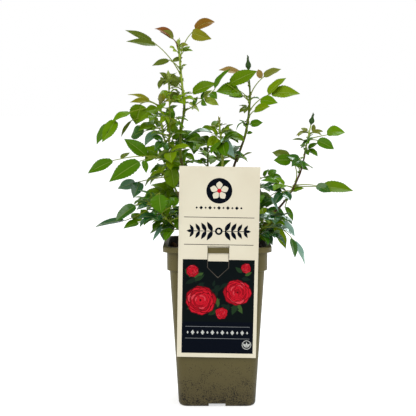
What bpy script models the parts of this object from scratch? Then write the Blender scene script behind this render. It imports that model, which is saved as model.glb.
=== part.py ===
"""A young rose bush in its square nursery pot, with a hanging label on the rim.

Run it with: blender --background --python part.py
Sizes are in millimetres and become metres where a shape is made. +Z is up, +X is to the right and
-Y is the front, where the label hangs. The origin is the middle of the pot's flat underside.
A heading is a compass angle: 0 is right, 90 is back, 180 is left and 270 is front.
"""

import math
import random
from collections import namedtuple

import bmesh
import bpy
from mathutils import Matrix, Vector
from mathutils.bvhtree import BVHTree

MM = 0.001
GAP = 0.3  # between pieces that meet
WELD = 0.001  # joins a curve's caps to its sides
UP = Vector((0, 0, 1))
FRONT = Vector((0, -1, 0))

# --- the pot -----------------------------------------------------------------------------------
POT_HEIGHT = 231.0
RIM_WIDTH = 150.0
COLLAR_WIDTH = 138.6
BODY_WIDTH = 131.2  # just under the collar
BASE_WIDTH = 110.0
COLLAR_DEPTH = 35.0  # from the rim down to the step under the collar
LIP_DEPTH = 7.5
WALL = 1.6
FLOOR = 7.0
CORNER_RADIUS = 13.0
CORNER_STEPS = 4
FOOT_EDGE = 5.0  # height of the rounded edge between the walls and the underside
EDGE = 0.7  # slope round the top of the lip
COLLAR_SLOPE = 1.5  # height of the step under the collar
NOTCH_WIDTH, NOTCH_HEIGHT, NOTCH_REACH = 24.0, 4.5, 20.0
OVERCUT = 2.0  # how far a cutter reaches past what it cuts
SLOT_WIDTH, SLOT_DEPTH = 33.0, 2.4  # in the rim, for the label's tongue
SOIL_BELOW_RIM = 10.0
SOIL = POT_HEIGHT - SOIL_BELOW_RIM

# --- the label ---------------------------------------------------------------------------------
LABEL_WIDTH = 112.0
LABEL_TOP, LABEL_FOOT = 346.0, 73.0
LABEL_THICKNESS = 0.7
LABEL_LEAN = 4.6  # degrees that its top leans to the front
LABEL_TURN = 1.0  # degrees clockwise, seen from the front
LABEL_SHIFT = 1.5  # to the right
LABEL_REST = 227.0  # the height of the lip's middle, which the card rests against
LABEL_STANDOFF = 1.0  # from the lip's face to the middle of the card
TONGUE_WIDTH, TONGUE_HINGE, TONGUE_SHOULDER, TONGUE_TIP = 29.0, 234.5, 203.0, 189.0
TONGUE_PLAY = 0.7  # width of the cut round the tongue
TONGUE_THICKNESS = 0.5
TONGUE_BENDS = [  # height, distance behind the card, half width
    (236.5, 0.0, TONGUE_WIDTH / 2),
    (234.4, 0.1, TONGUE_WIDTH / 2),
    (231.6, 3.7, TONGUE_WIDTH / 2),
    (230.4, 4.0, TONGUE_WIDTH / 2),
    (223.4, 3.3, TONGUE_WIDTH / 2),
    (220.5, 2.6, TONGUE_WIDTH / 2),
    (213.0, 0.2, TONGUE_WIDTH / 2),
    (TONGUE_SHOULDER, 0.0, TONGUE_WIDTH / 2),
    (TONGUE_TIP, 0.0, 0.4),
]

# --- the plant ---------------------------------------------------------------------------------
SEED = 7
TRUNK_SIDES, CANE_SIDES, STEM_SIDES, TWIG_SIDES = 12, 6, 6, 3
CURVE_STEP = 18.0  # between the points of a limb
FINE_STEPS = 20  # of a smooth path, between two of its points
CANE_STEP = 0.5  # of the search for where a cane comes clear of the trunk
TRUNK = [  # x, y, height above the soil, radius
    (0, 3, GAP, 13.0),
    (0, 3, 8, 9.5),
    (-1, 4, 16, 11.0),
    (0, 4, 23, 10.5),
    (0, 4, 29, 6.0),
]
CANE_ROOT = 2.5  # radius of a cane where it leaves the trunk
STEM_ROOT, STEM_TIP = 1.5, 0.9
TWIG_ROOT, TWIG_TIP = 0.8, 0.55
BUD = [(0, 1.4), (2, 2.4), (5, 3.6), (8, 3.4), (11.5, 1.8), (15, 0.9), (20, 0.4)]  # height, radius
KEEL = 0.55  # depth of a leaflet's keel under its blade
FOLD = 0.28  # rise of a leaflet's edges, for each unit of half width
BROAD = 0.56  # width of a leaflet, for its length
WIDEST = 0.42  # where along a leaflet its edge has its corners
RING_PLACES = (0.2, WIDEST, 0.75)  # where along a leaflet its room is tested
SUNK = 0.3  # how far a leaflet's foot runs past the middle of its stalk
PAIR_STEP = 0.85  # size of each pair of leaflets, the next pair outwards being 1
PAIR_PLACES = (0.86, 0.55, 0.30)  # along the stalk
END_LAP = 2.0  # how far the end leaflet's foot lies back along the stalk
BEND_SHARE, BEND_DOWN, BEND_UP = 0.35, 35, 20  # a stalk's bend, for its rise less its droop, and its limits
SIZE_SPREAD = (0.9, 1.08)  # of the leaflets of a pair, as shares of their size
SPREAD_DEGREES, ROLL_DEGREES = 8, 22  # most that a paired leaflet strays
DIP = (-0.25, 0.12)  # how far a paired leaflet points below or above its leaf, as a slope
CLEAR = 0.7  # room that a leaf leaves round other things
LABEL_ROOM = 3.0  # the same beside the label and over it
LABEL_VIEW = 60.0  # how far in front of the label no leaf hides it
TURNS = (0, 8, -8, 16, -16, 26, -26, 38, -38)  # degrees that a leaf may turn to find room
DEAREST_TURN = 40  # degrees of turn that count as much as a leaflet left out
STALK_START = 0.3  # of a stalk's first stretch, which lies in its stem and isn't tested
SPIRAL = 144.0  # degrees from one leaf of a stem to the next
LAST_LEAF = 0.97  # of a stem, where the leaves that fill it end
FIRST_SCALE, TIP_LOSS = 1.15, 0.5  # size of those leaves at the stem's foot, and how much less at its tip
TIP_LIFT = 20  # degrees more that they rise at its tip

# A leaf leaves its stem at a share of the leafy length. Its stalk runs for reach with a heading and a
# rise, and bends so that the end leaflet, size long, points at droop degrees from level. pairs has a
# word for each pair of leaflets from the end inwards: B for both, U for the upper one, D for the
# lower one. show turns the blades towards the front, or away from it below 0. arch is how far each
# blade curls down, broad its width for its length, spread the angle between a paired leaflet and the
# stalk, pair the size of the outer pair, the end leaflet being 1, and swing how far the end leaflet
# turns aside from its stalk.
Leaf = namedtuple("Leaf", "at heading rise reach droop size pairs show arch broad spread pair swing")
Leaf.__new__.__defaults__ = ("BB", 25, 45, BROAD, 58, 0.95, 0)

# A shoot is a cane from the trunk and the leafy stem that carries on from it. leafy is the share of
# the path where the cane ends, and bud tells whether a flower bud ends the stem. fill describes the
# leaves that follow one another round the stem: how many, the first one's heading, rise, reach,
# droop, size and pairs, and the share of the stem where the first one stands.
Shoot = namedtuple("Shoot", "path leafy bud leaves fill")
Fill = namedtuple("Fill", "count heading rise reach droop size pairs first")
Fill.__new__.__defaults__ = (0.1,)

SHOOTS = {
    "tall": Shoot(
        [
            (-1, 4, 240), (-14, 1, 262), (-34, -2, 300), (-51, -3, 345),
            (-52, -4, 390), (-47, -4, 425), (-51, -3, 466), (-55, 0, 512),
        ],
        0.55,
        False,
        [
            Leaf(0.85, 15, 63, 50, 22, 32, "DU", 50, 75, 0.50, 55, 0.85),
            Leaf(0.96, 195, 63, 20, 29, 30, "D", 55, 60, 0.42, 30),
            Leaf(0.70, 185, 49, 65, 20, 38, "DB", 70, 30, 0.30, 40, 1.1),
            Leaf(0.46, 170, 46, 30, -34, 22, "BB", 30, 100),
            Leaf(0.04, 200, 54, 21, -57, 26, "", 60, 20, 0.40),
            Leaf(0.27, 335, 33, 58, 50, 34, "DBB", 40, 25, 0.45, 70, 0.7),
            Leaf(0.48, 335, -20, 9, 18, 42, "", 60, 25, 0.48),
            Leaf(0.42, 200, 33, 10, -21, 20, "B", 40),
        ],
        Fill(3, 60, 45, 12, 20, 13, "B", 0.9),
    ),
    "budded": Shoot(
        [
            (1, 4, 240), (6, 2, 268), (14, 0, 305), (25, 0, 342),
            (41, 0, 387), (47, -4, 436), (45, -5, 479),
        ],
        0.46,
        True,
        [
            Leaf(0.58, 205, 50, 26, -5, 36, "D", 50, 30, 0.50, 45, 0.6),
            Leaf(0.82, 190, 56, 25, 10, 34, "", 40, 30, 0.40),
            Leaf(0.72, 10, 54, 35, 23, 30, "U", 40, 30, 0.50, 70, 0.6),
            Leaf(0.55, 350, 39, 41, 5, 42, "BD", 45, 25, 0.40, 50, 0.6),
            Leaf(0.66, 200, 40, 36, 30, 42, "", 60, 25, 0.44, 58, 0.95, 165),
            Leaf(0.72, 195, 12, 20, -18, 40, "", 60, 25, 0.46),
            Leaf(0.59, 215, -10, 8, -63, 17, "B", 30),
            Leaf(0.47, 345, 45, 14, 22, 30, "", 50, 25, 0.45),
            Leaf(0.43, 200, -5, 7, -43, 19, "", 10, 80, 0.25),
            Leaf(0.41, 345, -3, 5, 5, 20, "", 70, 20, 0.55),
            Leaf(0.31, 330, -15, 4, 1, 10, "", 60),
            Leaf(0.02, 340, -1, 9, 24, 18, "", 20, 40, 0.40),
        ],
        Fill(0, 0, 0, 0, 0, 0, ""),
    ),
    "right": Shoot(
        [
            (5, 3, 234), (22, 5, 248), (48, 8, 256), (81, 10, 271),
            (104, 3, 298), (121, -2, 334), (128, -4, 368), (135, -4, 401),
        ],
        0.50,
        True,
        [
            Leaf(0.82, 12, 3, 30, 8, 30, "", 35, 60, 0.55),
            Leaf(0.81, 345, -1, 15, -27, 29, "", 55, 30, 0.55),
            Leaf(0.85, 195, -20, 8, -8, 19, "U", 15, 30, 0.40),
            Leaf(0.90, 170, 9, 6, -17, 16, "B", 20),
            Leaf(0.22, 165, 77, 39, 21, 32, "DD", 30, 20, 0.34, 60),
            Leaf(0.59, 220, -23, 11, -30, 20, "B", 45),
            Leaf(0.65, 320, 30, 8, -28, 20, "B", 30),
            Leaf(0.17, 355, 1, 41, -6, 48, "", 55, 20, 0.42),
            Leaf(0.19, 345, -4, 33, -40, 22, "", 50, 20, 0.56),
            Leaf(0.16, 200, 21, 26, 22, 30, "BB", 25, 30),
            Leaf(0.10, 235, 17, 24, -18, 31, "BB", 15),
            Leaf(0.02, 185, 48, 27, -15, 20, "B", 20, 60, 0.40),
            Leaf(0.04, 330, -54, 6, -42, 18, "", 30),
        ],
        Fill(2, 80, 30, 20, -10, 24, "BB", 0.35),
    ),
    "middle": Shoot(
        [
            (1, 10, 236), (0, 19, 256), (4, 12, 300), (8, -4, 350),
            (4, -13, 395), (3, -13, 408),
        ],
        0.66,
        False,
        [
            Leaf(0.85, 195, 14, 3, 1, 15, "", 10, 20, 0.35),
            Leaf(0.87, 340, 35, 3, 13, 12, "", 10, 20, 0.35),
            Leaf(0.68, 190, -3, 11, -9, 46, "", 15, 75, 0.40),
            Leaf(0.61, 320, -28, 5, -50, 36, "", 35, 25, 0.34),
            Leaf(0.65, 20, 30, 5, 18, 19, "B", 20, 60, 0.34, 40),
            Leaf(0.53, 220, 22, 10, -33, 24, "B", 60),
            Leaf(0.40, 250, 10, 22, -40, 32, "BB", 30, 30),
            Leaf(0.26, 175, 18, 26, 9, 30, "B", 25),
            Leaf(0.10, 10, 12, 16, -10, 24, "B", 20),
        ],
        Fill(4, 80, 8, 24, -15, 30, "BB", 0.05),
    ),
    "rear_left": Shoot(
        [
            (-4, 6, 236), (-24, 18, 262), (-48, 24, 304), (-67, 25, 348),
            (-79, 30, 388), (-82, 30, 431),
        ],
        0.50,
        False,
        [
            Leaf(0.96, 165, 30, 20, 11, 37, "D", 20, 25, 0.25),
            Leaf(0.97, 30, 44, 16, 23, 24, "BB", 25, 40),
            Leaf(0.89, 200, -12, 78, -50, 36, "BB", 50, 35, 0.60),
            Leaf(0.59, 215, 26, 10, -39, 34, "", 20, 30, 0.50),
            Leaf(0.67, 150, -8, 25, -6, 33, "B", 60, 30, 0.62),
            Leaf(0.92, 210, 22, 7, -17, 26, "", 50, 40, 0.56),
            Leaf(0.90, 195, 20, 26, -75, 32, "", 75, 20, 0.80),
            Leaf(0.63, 60, 38, 23, 70, 24, "B", 60),
        ],
        Fill(5, 70, 15, 28, -15, 30, "BB", 0.05),
    ),
    "left": Shoot(
        [
            (-4, 2, 234), (-30, -12, 262), (-58, -26, 306), (-70, -20, 346),
            (-67, -25, 400), (-68, -27, 440), (-69, -28, 466),
        ],
        0.44,
        False,
        [
            Leaf(0.90, 205, 64, 17, -52, 18, "B", 30, 90),
            Leaf(0.96, 350, 58, 12, -40, 15, "B", 30),
            Leaf(0.21, 190, -2, 79, -26, 42, "U", 45, 20, 0.42, 140, 0.55),
            Leaf(0.20, 210, -2, 45, -29, 58, "D", 50, 20, 0.38, 75, 0.40),
            Leaf(0.23, 168, -2, 32, 38, 43, "", 60, 20, 0.44),
            Leaf(0.17, 160, -22, 6, 60, 28, "", 60, 20, 0.50),
            Leaf(0.14, 250, -60, 18, -30, 34, "B", 40),
            Leaf(0.39, 320, -8, 13, -36, 22, "B", 40),
        ],
        Fill(5, 110, 8, 28, -20, 28, "BB", 0.02),
    ),
    "low_left": Shoot(
        [
            (-4, 0, 230), (-30, -22, 243), (-60, -40, 262), (-84, -48, 284),
            (-96, -50, 300),
        ],
        0.45,
        False,
        [
            Leaf(0.83, 190, -11, 51, -28, 38, "BD", 20, 30, 0.42),
            Leaf(0.55, 200, -16, 40, -18, 22, "BU", 40, 30),
            Leaf(0.92, 190, 70, 6, -3, 20, "", 20, 20, 0.35),
            Leaf(0.98, 180, 90, 8, 17, 20, "", 20, 20, 0.35),
            Leaf(0.45, 235, -48, 15, -35, 30, "", 30, 20, 0.34),
            Leaf(0.70, 300, 20, 18, 75, 30, "", 80, 20, 0.70),
            Leaf(0.52, 300, -6, 27, -60, 24, "B", 30),
        ],
        Fill(4, 100, 12, 24, -25, 30, "BB", 0.15),
    ),
    "low_right": Shoot(
        [
            (5, 1, 229), (30, -8, 239), (56, -20, 252), (78, -26, 262),
            (92, -28, 264),
        ],
        0.50,
        False,
        [
            Leaf(0.71, 350, -38, 40, -65, 38, "BB", 20, 25, 0.36),
            Leaf(0.68, 335, -32, 9, -62, 38, "", 30, 20, 0.40),
            Leaf(0.45, 320, -70, 8, -62, 26, "B", 40, 20, 0.42),
            Leaf(0.84, 10, -10, 8, -51, 33, "", 20, 20, 0.36),
            Leaf(0.45, 20, 80, 11, 2, 26, "B", 20, 30),
        ],
        Fill(3, 60, 5, 22, -30, 28, "BB", 0.1),
    ),
    "rear": Shoot(
        [
            (-2, 8, 234), (-7, 34, 252), (-11, 66, 288), (-13, 84, 330),
            (-14, 90, 376),
        ],
        0.50,
        False,
        [
            Leaf(0.95, 190, 10, 14, -20, 32, "B", 35, 40),
            Leaf(0.85, 345, 0, 16, -30, 32, "B", 35, 40),
        ],
        Fill(5, 20, 0, 30, -25, 32, "BB", 0.05),
    ),
    "rear_right": Shoot(
        [
            (4, 7, 232), (24, 30, 246), (46, 58, 276), (60, 82, 306),
            (64, 94, 326),
        ],
        0.50,
        False,
        [],
        Fill(6, 340, 5, 30, -20, 30, "BB", 0.05),
    ),
    "far_left": Shoot(
        [
            (-3, 8, 230), (-22, 36, 246), (-46, 66, 288), (-60, 86, 332),
            (-64, 94, 356),
        ],
        0.50,
        False,
        [],
        Fill(6, 60, 10, 30, -20, 32, "BB", 0.05),
    ),
    "front_left": Shoot(
        [
            (-3, -1, 227), (-26, -34, 238), (-56, -64, 258), (-82, -84, 284),
            (-92, -90, 300),
        ],
        0.50,
        False,
        [],
        Fill(6, 150, 5, 26, -30, 32, "BB", 0.05),
    ),
    "front_right": Shoot(
        [
            (3, -2, 227), (24, -30, 236), (50, -52, 248), (76, -70, 266),
            (88, -76, 280),
        ],
        0.50,
        False,
        [],
        Fill(5, 30, 0, 24, -30, 28, "BB", 0.1),
    ),
}

# --- colours (linear), roughness and metallic ----------------------------------------------------
MATERIALS = {
    "pot_plastic": ((0.125, 0.105, 0.052), 0.45, 0.0),
    "compost": ((0.025, 0.016, 0.009), 0.95, 0.0),
    "label_card": ((0.84, 0.78, 0.62), 0.5, 0.0),
    "green_bark": ((0.11, 0.13, 0.02), 0.6, 0.0),
    "brown_bark": ((0.05, 0.035, 0.015), 0.75, 0.0),
    "leaf": ((0.06, 0.15, 0.012), 0.4, 0.0),
}


def material(name):
    """The named material, made once."""
    if name in bpy.data.materials:
        return bpy.data.materials[name]
    colour, roughness, metallic = MATERIALS[name]
    made = bpy.data.materials.new(name)
    made.use_nodes = True
    shader = made.node_tree.nodes["Principled BSDF"]
    shader.inputs["Base Color"].default_value = (*colour, 1.0)
    shader.inputs["Roughness"].default_value = roughness
    shader.inputs["Metallic"].default_value = metallic
    made.diffuse_color = (*colour, 1.0)
    return made


def new_collection(name):
    made = bpy.data.collections.new(name)
    bpy.context.scene.collection.children.link(made)
    return made


def add_object(name, data, collection, material_name=None):
    made = bpy.data.objects.new(name, data)
    collection.objects.link(made)
    if material_name:
        data.materials.append(material(material_name))
    return made


# --- paths ---------------------------------------------------------------------------------------
def direction(heading, rise):
    level = math.cos(math.radians(rise))
    across = math.radians(heading)
    return Vector((level * math.cos(across), level * math.sin(across), math.sin(math.radians(rise))))


def smoothed(points):
    """A Catmull-Rom curve through the points, as close points at even distances."""
    points = [Vector(point) for point in points]
    ends = [2 * points[0] - points[1], *points, 2 * points[-1] - points[-2]]
    fine = []
    for a, b, c, d in zip(ends, ends[1:], ends[2:], ends[3:]):
        square, cube = 2 * a - 5 * b + 4 * c - d, 3 * b - a - 3 * c + d
        for step in range(FINE_STEPS):
            t = step / FINE_STEPS
            fine.append((2 * b + (c - a) * t + square * t**2 + cube * t**3) / 2)
    return [*fine, points[-1]]


def lengths(points):
    total = [0.0]
    for a, b in zip(points, points[1:]):
        total.append(total[-1] + (b - a).length)
    return total


def point_at(points, run, distance):
    """The place and the direction of a path at a distance along it."""
    for i in range(1, len(points)):
        if run[i] >= distance or i == len(points) - 1:
            part = (distance - run[i - 1]) / max(run[i] - run[i - 1], 1e-6)
            return points[i - 1].lerp(points[i], part), (points[i] - points[i - 1]).normalized()


def stretch(points, start, end, spacing=CURVE_STEP):
    """The part of a path from start to end, as (place, share) at even distances."""
    run = lengths(points)
    count = max(2, math.ceil((end - start) / spacing))
    shares = [i / count for i in range(count + 1)]
    return [(point_at(points, run, start + (end - start) * share)[0], share) for share in shares]


# --- limbs ---------------------------------------------------------------------------------------
def limb_curve(name, points, radii, sides, collection, material_name):
    """A tapering limb as a bevelled curve with flat caps. sides is 3, or an even number from 4."""
    data = bpy.data.curves.new(name, "CURVE")
    data.dimensions = "3D"
    data.use_fill_caps = True
    if sides == 3:
        data.bevel_mode = "OBJECT"
        data.bevel_object = bpy.data.objects["twig_section"]
    else:
        data.bevel_depth = MM
        data.bevel_resolution = sides // 2 - 2
    spline = data.splines.new("POLY")
    spline.points.add(len(points) - 1)
    for place, point, radius in zip(spline.points, points, radii):
        place.co = (*(point * MM), 1.0)
        place.radius = radius
    return add_object(name, data, collection, material_name)


def as_mesh(curve_object):
    """Replaces a curve object by the same shape as a closed mesh."""
    graph = bpy.context.evaluated_depsgraph_get()
    data = bpy.data.meshes.new_from_object(curve_object.evaluated_get(graph))
    mesh = bmesh.new()
    mesh.from_mesh(data)
    bmesh.ops.remove_doubles(mesh, verts=mesh.verts, dist=WELD * MM)
    bmesh.ops.recalc_face_normals(mesh, faces=mesh.faces)
    mesh.to_mesh(data)
    mesh.free()
    name = curve_object.name
    collection = curve_object.users_collection[0]
    matrix = curve_object.matrix_world.copy()
    bpy.data.objects.remove(curve_object)
    made = bpy.data.objects.new(name, data)
    made.matrix_world = matrix
    collection.objects.link(made)
    return made


def tube_polygons(points, radii, sides=6):
    """A tube round a path as corner and face lists, for tests of clearance."""
    corners, faces = [], []
    for i, (point, radius) in enumerate(zip(points, radii)):
        along = (points[min(i + 1, len(points) - 1)] - points[max(i - 1, 0)]).normalized()
        side = along.orthogonal().normalized()
        for k in range(sides):
            corners.append(point + Matrix.Rotation(math.tau * k / sides, 3, along) @ side * radius)
    for i in range(len(points) - 1):
        for k in range(sides):
            a, b = i * sides + k, i * sides + (k + 1) % sides
            faces.append((a, b, b + sides, a + sides))
    return corners, faces


def box_polygons(low, high):
    corners = [Vector((x, y, z)) for x in (low[0], high[0]) for y in (low[1], high[1]) for z in (low[2], high[2])]
    faces = [(0, 1, 3, 2), (4, 6, 7, 5), (0, 4, 5, 1), (2, 3, 7, 6), (0, 2, 6, 4), (1, 5, 7, 3)]
    return corners, faces


def trunk_clearance(point):
    """How far a point lies outside the trunk."""
    rings = [(Vector((x, y, SOIL + height)), radius) for x, y, height, radius in TRUNK]
    found = []
    for (low, low_radius), (high, high_radius) in zip(rings, rings[1:]):
        along = high - low
        share = min(max((point - low).dot(along) / along.length_squared, 0), 1)
        radius = low_radius + (high_radius - low_radius) * share
        found.append((point - low - along * share).length - radius)
    return min(found)


def cane_start(points, run):
    """The distance along a path where a cane's flat end comes clear of the trunk."""
    distance = 0.0
    while True:
        place, along = point_at(points, run, distance)
        side = along.orthogonal().normalized() * CANE_ROOT
        rim = [place + Matrix.Rotation(math.tau * k / 8, 3, along) @ side for k in range(8)]
        if min(trunk_clearance(corner) for corner in rim) > GAP:
            return distance
        distance += CANE_STEP


# --- leaves --------------------------------------------------------------------------------------
# A leaflet's foot, the way it points, the side that faces up, its length, width and arch in degrees.
Leaflet = namedtuple("Leaflet", "foot forward normal length width arch")
PAIR_HANDS = {"B": (1, -1), "U": (1,), "D": (-1,)}
# A leaf as grown: the points of its stalk, and its leaflets.
Grown = namedtuple("Grown", "stalk leaflets")


def blade_point(leaflet, along, across):
    """A place on a leaflet. along runs from its foot, 0, to its tip, 1, and across from -1 to 1."""
    arch = math.radians(max(leaflet.arch, 1))
    forth = (math.sin(arch / 2) - math.sin(arch * (0.5 - along))) / arch
    rise = (math.cos(arch * (0.5 - along)) - math.cos(arch / 2)) / arch
    side = leaflet.forward.cross(leaflet.normal)
    half = leaflet.width / 2 * outline(along)
    place = leaflet.foot + (leaflet.forward * forth + leaflet.normal * rise) * leaflet.length
    return place + side * half * across + leaflet.normal * half * FOLD * abs(across)


def outline(along):
    """Half the width of a leaflet, as a share of its widest."""
    return max(math.sin(math.pi * min(along, 1) ** 0.82), 0) ** 0.8


def leaflet_corners(leaflet, keel, margin=0.0):
    """Corners of a leaflet in the order of a small sphere's: foot, two rings of four, tip."""
    corners = [leaflet.foot + leaflet.forward * (CLEAR * 2 if margin else 0)]
    for along in RING_PLACES:
        middle = blade_point(leaflet, along, 0)
        for across in (1, -1):
            edge = blade_point(leaflet, along, across)
            corners.append(edge + (edge - middle).normalized() * margin)
        corners.append(middle + leaflet.normal * margin)
        corners.append(middle - leaflet.normal * (keel + margin))
    corners.append(blade_point(leaflet, 1, 0) + leaflet.forward * margin)
    return corners


ROUND_LEAFLET = ((1, 3), (3, 2), (2, 4), (4, 1))  # neighbours in a ring
LEAFLET_FACES = [
    *((0, a, b) for a, b in ROUND_LEAFLET),
    *((a, a + 4, b + 4, b) for a, b in ROUND_LEAFLET),
    *((a + 4, a + 8, b + 8, b + 4) for a, b in ROUND_LEAFLET),
    *((13, b + 8, a + 8) for a, b in ROUND_LEAFLET),
]


def blade_axes(along, show):
    """The upper side and the normal of blades on a stalk that points along."""
    side = along.cross(UP)
    side = side.normalized() if side.length > 0.05 else Vector((1, 0, 0))
    normal = side.cross(along).normalized()
    turns = [Matrix.Rotation(math.radians(roll), 3, along) for roll in (abs(show), -abs(show))]
    toward = FRONT if show > 0 else -FRONT
    turn = max(turns, key=lambda each: (each @ normal).dot(toward))
    side, normal = turn @ side, turn @ normal
    return (side if side.z > 0 else -side), normal


def grow_leaf(foot, leaf, turn, chance):
    """A compound leaf: a bending stalk with pairs of leaflets and one at the end."""
    heading = leaf.heading + turn
    bend = max(min((leaf.rise - leaf.droop) * BEND_SHARE, BEND_DOWN), -BEND_UP)
    step_length = leaf.reach / (1 + 2 * math.cos(math.radians(bend)))
    stalk = [foot]
    for step in (1, 0, -1):
        stalk.append(stalk[-1] + direction(heading, leaf.rise + bend * step) * step_length)
    along = direction(heading + leaf.swing, leaf.droop)
    side, normal = blade_axes(along, leaf.show)
    end = stalk[-1] - (stalk[-1] - stalk[-2]).normalized() * END_LAP
    leaflets = [Leaflet(end, along, normal, leaf.size, leaf.size * leaf.broad, leaf.arch)]
    run = lengths(stalk)
    for pair, sides in enumerate(leaf.pairs):
        place, along = point_at(stalk, run, run[-1] * PAIR_PLACES[pair])
        side, normal = blade_axes(along, leaf.show)
        for hand in PAIR_HANDS[sides]:
            spread = math.radians(leaf.spread + chance.uniform(-SPREAD_DEGREES, SPREAD_DEGREES))
            size = leaf.size * leaf.pair * PAIR_STEP**pair * chance.uniform(*SIZE_SPREAD)
            forward = along * math.cos(spread) + side * hand * math.sin(spread)
            forward = (forward + normal * chance.uniform(*DIP)).normalized()
            face = (normal - forward * normal.dot(forward)).normalized()
            roll = math.radians(chance.uniform(-ROLL_DEGREES, ROLL_DEGREES))
            face = Matrix.Rotation(roll, 3, forward) @ face
            leaflets.append(Leaflet(place, forward, face, size, size * leaf.broad, leaf.arch))
    return Grown(stalk, leaflets)


def tree_of(polygons):
    return BVHTree.FromPolygons(*polygons)


def leaflet_tree(leaflet):
    return tree_of((leaflet_corners(leaflet, KEEL, CLEAR), LEAFLET_FACES))


def stalk_tree(stalk, start):
    radii = [TWIG_ROOT + CLEAR] * len(stalk)
    return tree_of(tube_polygons([stalk[0].lerp(stalk[1], start), *stalk[1:]], radii, TWIG_SIDES))


def fitted_leaf(foot, leaf, chance, others, own):
    """The leaf, turned to where most of its leaflets have room, without those that have none."""
    state = chance.getstate()
    best = None
    for turn in TURNS:
        chance.setstate(state)
        grown = grow_leaf(foot, leaf, turn, chance)
        stalk = stalk_tree(grown.stalk, STALK_START)
        if any(stalk.overlap(other) for other in others):
            continue
        kept, cost = [], abs(turn) / DEAREST_TURN
        for leaflet in grown.leaflets:
            tree = leaflet_tree(leaflet)
            if any(tree.overlap(other) for other in (*others, *own)):
                cost += 1
            else:
                kept.append(leaflet)
        if kept and (best is None or cost < best[0]):
            best = (cost, Grown(grown.stalk, kept))
        if best and best[0] < 1:
            break
    return best[1] if best else None


def fill_leaves(fill, chance):
    """Leaves that stand round the stem, each a fixed angle on from the last."""
    for i in range(fill.count):
        share = i / max(fill.count, 1)
        yield Leaf(
            fill.first + (LAST_LEAF - fill.first) * share,
            fill.heading + SPIRAL * i + chance.uniform(-15, 15),
            fill.rise + TIP_LIFT * share + chance.uniform(-10, 10),
            fill.reach * (FIRST_SCALE - TIP_LOSS * share) * chance.uniform(0.9, 1.1),
            fill.droop + TIP_LIFT * share + chance.uniform(-12, 12),
            fill.size * (FIRST_SCALE - TIP_LOSS * share) * chance.uniform(0.9, 1.1),
            fill.pairs,
            chance.uniform(-10, 40),
            chance.uniform(25, 70),
        )


# The points and radii of a shoot's cane and of the stem that carries on from it.
Limbs = namedtuple("Limbs", "cane cane_radii stem stem_radii")


def grow_limbs(shoot):
    """The cane, clear of the trunk, and the stem that carries on from its tip."""
    points = smoothed(shoot.path)
    run = lengths(points)
    start = cane_start(points, run)
    joint = run[-1] * shoot.leafy
    cane = stretch(points, start, joint - GAP / 2)
    stem = stretch(points, joint + GAP / 2, run[-1])
    cane_radii = [CANE_ROOT + (STEM_ROOT - CANE_ROOT) * share for _, share in cane]
    stem_radii = [STEM_ROOT + (STEM_TIP - STEM_ROOT) * share for _, share in stem]
    stem = [place for place, _ in stem]
    if shoot.bud:
        along = (stem[-1] - stem[-2]).normalized()
        end = stem.pop()
        stem_radii.pop()
        for height, radius in BUD:
            stem.append(end + along * height)
            stem_radii.append(radius)
    return Limbs([place for place, _ in cane], cane_radii, stem, stem_radii)


def surroundings():
    """What leaves keep clear of besides the canes: the trunk, the pot with its soil, and the label."""
    trunk = [Vector((x, y, SOIL + height)) for x, y, height, _ in TRUNK]
    rim, collar = RIM_WIDTH / 2, COLLAR_WIDTH / 2
    under_lip = POT_HEIGHT - LIP_DEPTH
    side = LABEL_WIDTH / 2 + LABEL_ROOM
    return [
        tree_of(tube_polygons(trunk, [ring[3] for ring in TRUNK])),
        tree_of(box_polygons((-rim, -rim, under_lip), (rim, rim, POT_HEIGHT))),
        tree_of(box_polygons((-collar, -collar, POT_HEIGHT / 2), (collar, collar, under_lip))),
        tree_of(
            box_polygons(
                (LABEL_SHIFT - side, -rim - LABEL_VIEW, POT_HEIGHT),
                (LABEL_SHIFT + side, -rim, LABEL_TOP + LABEL_ROOM),
            )
        ),
    ]


def grow():
    """Every shoot's limbs and leaves, by name."""
    limbs = {name: grow_limbs(shoot) for name, shoot in SHOOTS.items()}
    fixed = surroundings()
    canes = {name: tree_of(tube_polygons(each.cane, each.cane_radii)) for name, each in limbs.items()}
    stems = {name: tree_of(tube_polygons(each.stem, each.stem_radii)) for name, each in limbs.items()}
    grown, placed = {}, {}
    for number, (name, shoot) in enumerate(SHOOTS.items()):
        chance = random.Random(SEED * 100 + number)
        path = smoothed(shoot.path)
        run = lengths(path)
        joint = run[-1] * shoot.leafy
        others = [*fixed, *canes.values(), *(tree for key, tree in stems.items() if key != name)]
        others += [tree for trees in placed.values() for tree in trees]
        own, leaves = [], []
        for leaf in (*shoot.leaves, *fill_leaves(shoot.fill, chance)):
            foot, _ = point_at(path, run, joint + 2 + (run[-1] - joint - 4) * leaf.at)
            made = fitted_leaf(foot, leaf, chance, others, own)
            if made:
                leaves.append(made)
                own += [leaflet_tree(leaflet) for leaflet in made.leaflets]
        grown[name] = leaves
        placed[name] = own + [stalk_tree(leaf.stalk, 0.0) for leaf in leaves]
    return limbs, grown


# --- making the plant ----------------------------------------------------------------------------
def make_leaflet(name, leaflet, collection):
    """A leaflet: a small sphere, its poles at the foot and tip, flattened onto the blade."""
    mesh = bmesh.new()
    bmesh.ops.create_uvsphere(mesh, u_segments=4, v_segments=2, radius=1)
    for corner in mesh.verts:
        across, lift, pole = (round(number) for number in corner.co)
        along = (0, WIDEST, 1)[pole + 1]
        place = blade_point(leaflet, along, -across)
        if lift < 0:
            place -= leaflet.normal * KEEL
        if pole < 0:
            place -= leaflet.forward * SUNK
        corner.co = place * MM
    data = bpy.data.meshes.new(name)
    mesh.to_mesh(data)
    mesh.free()
    return add_object(name, data, collection)


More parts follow.
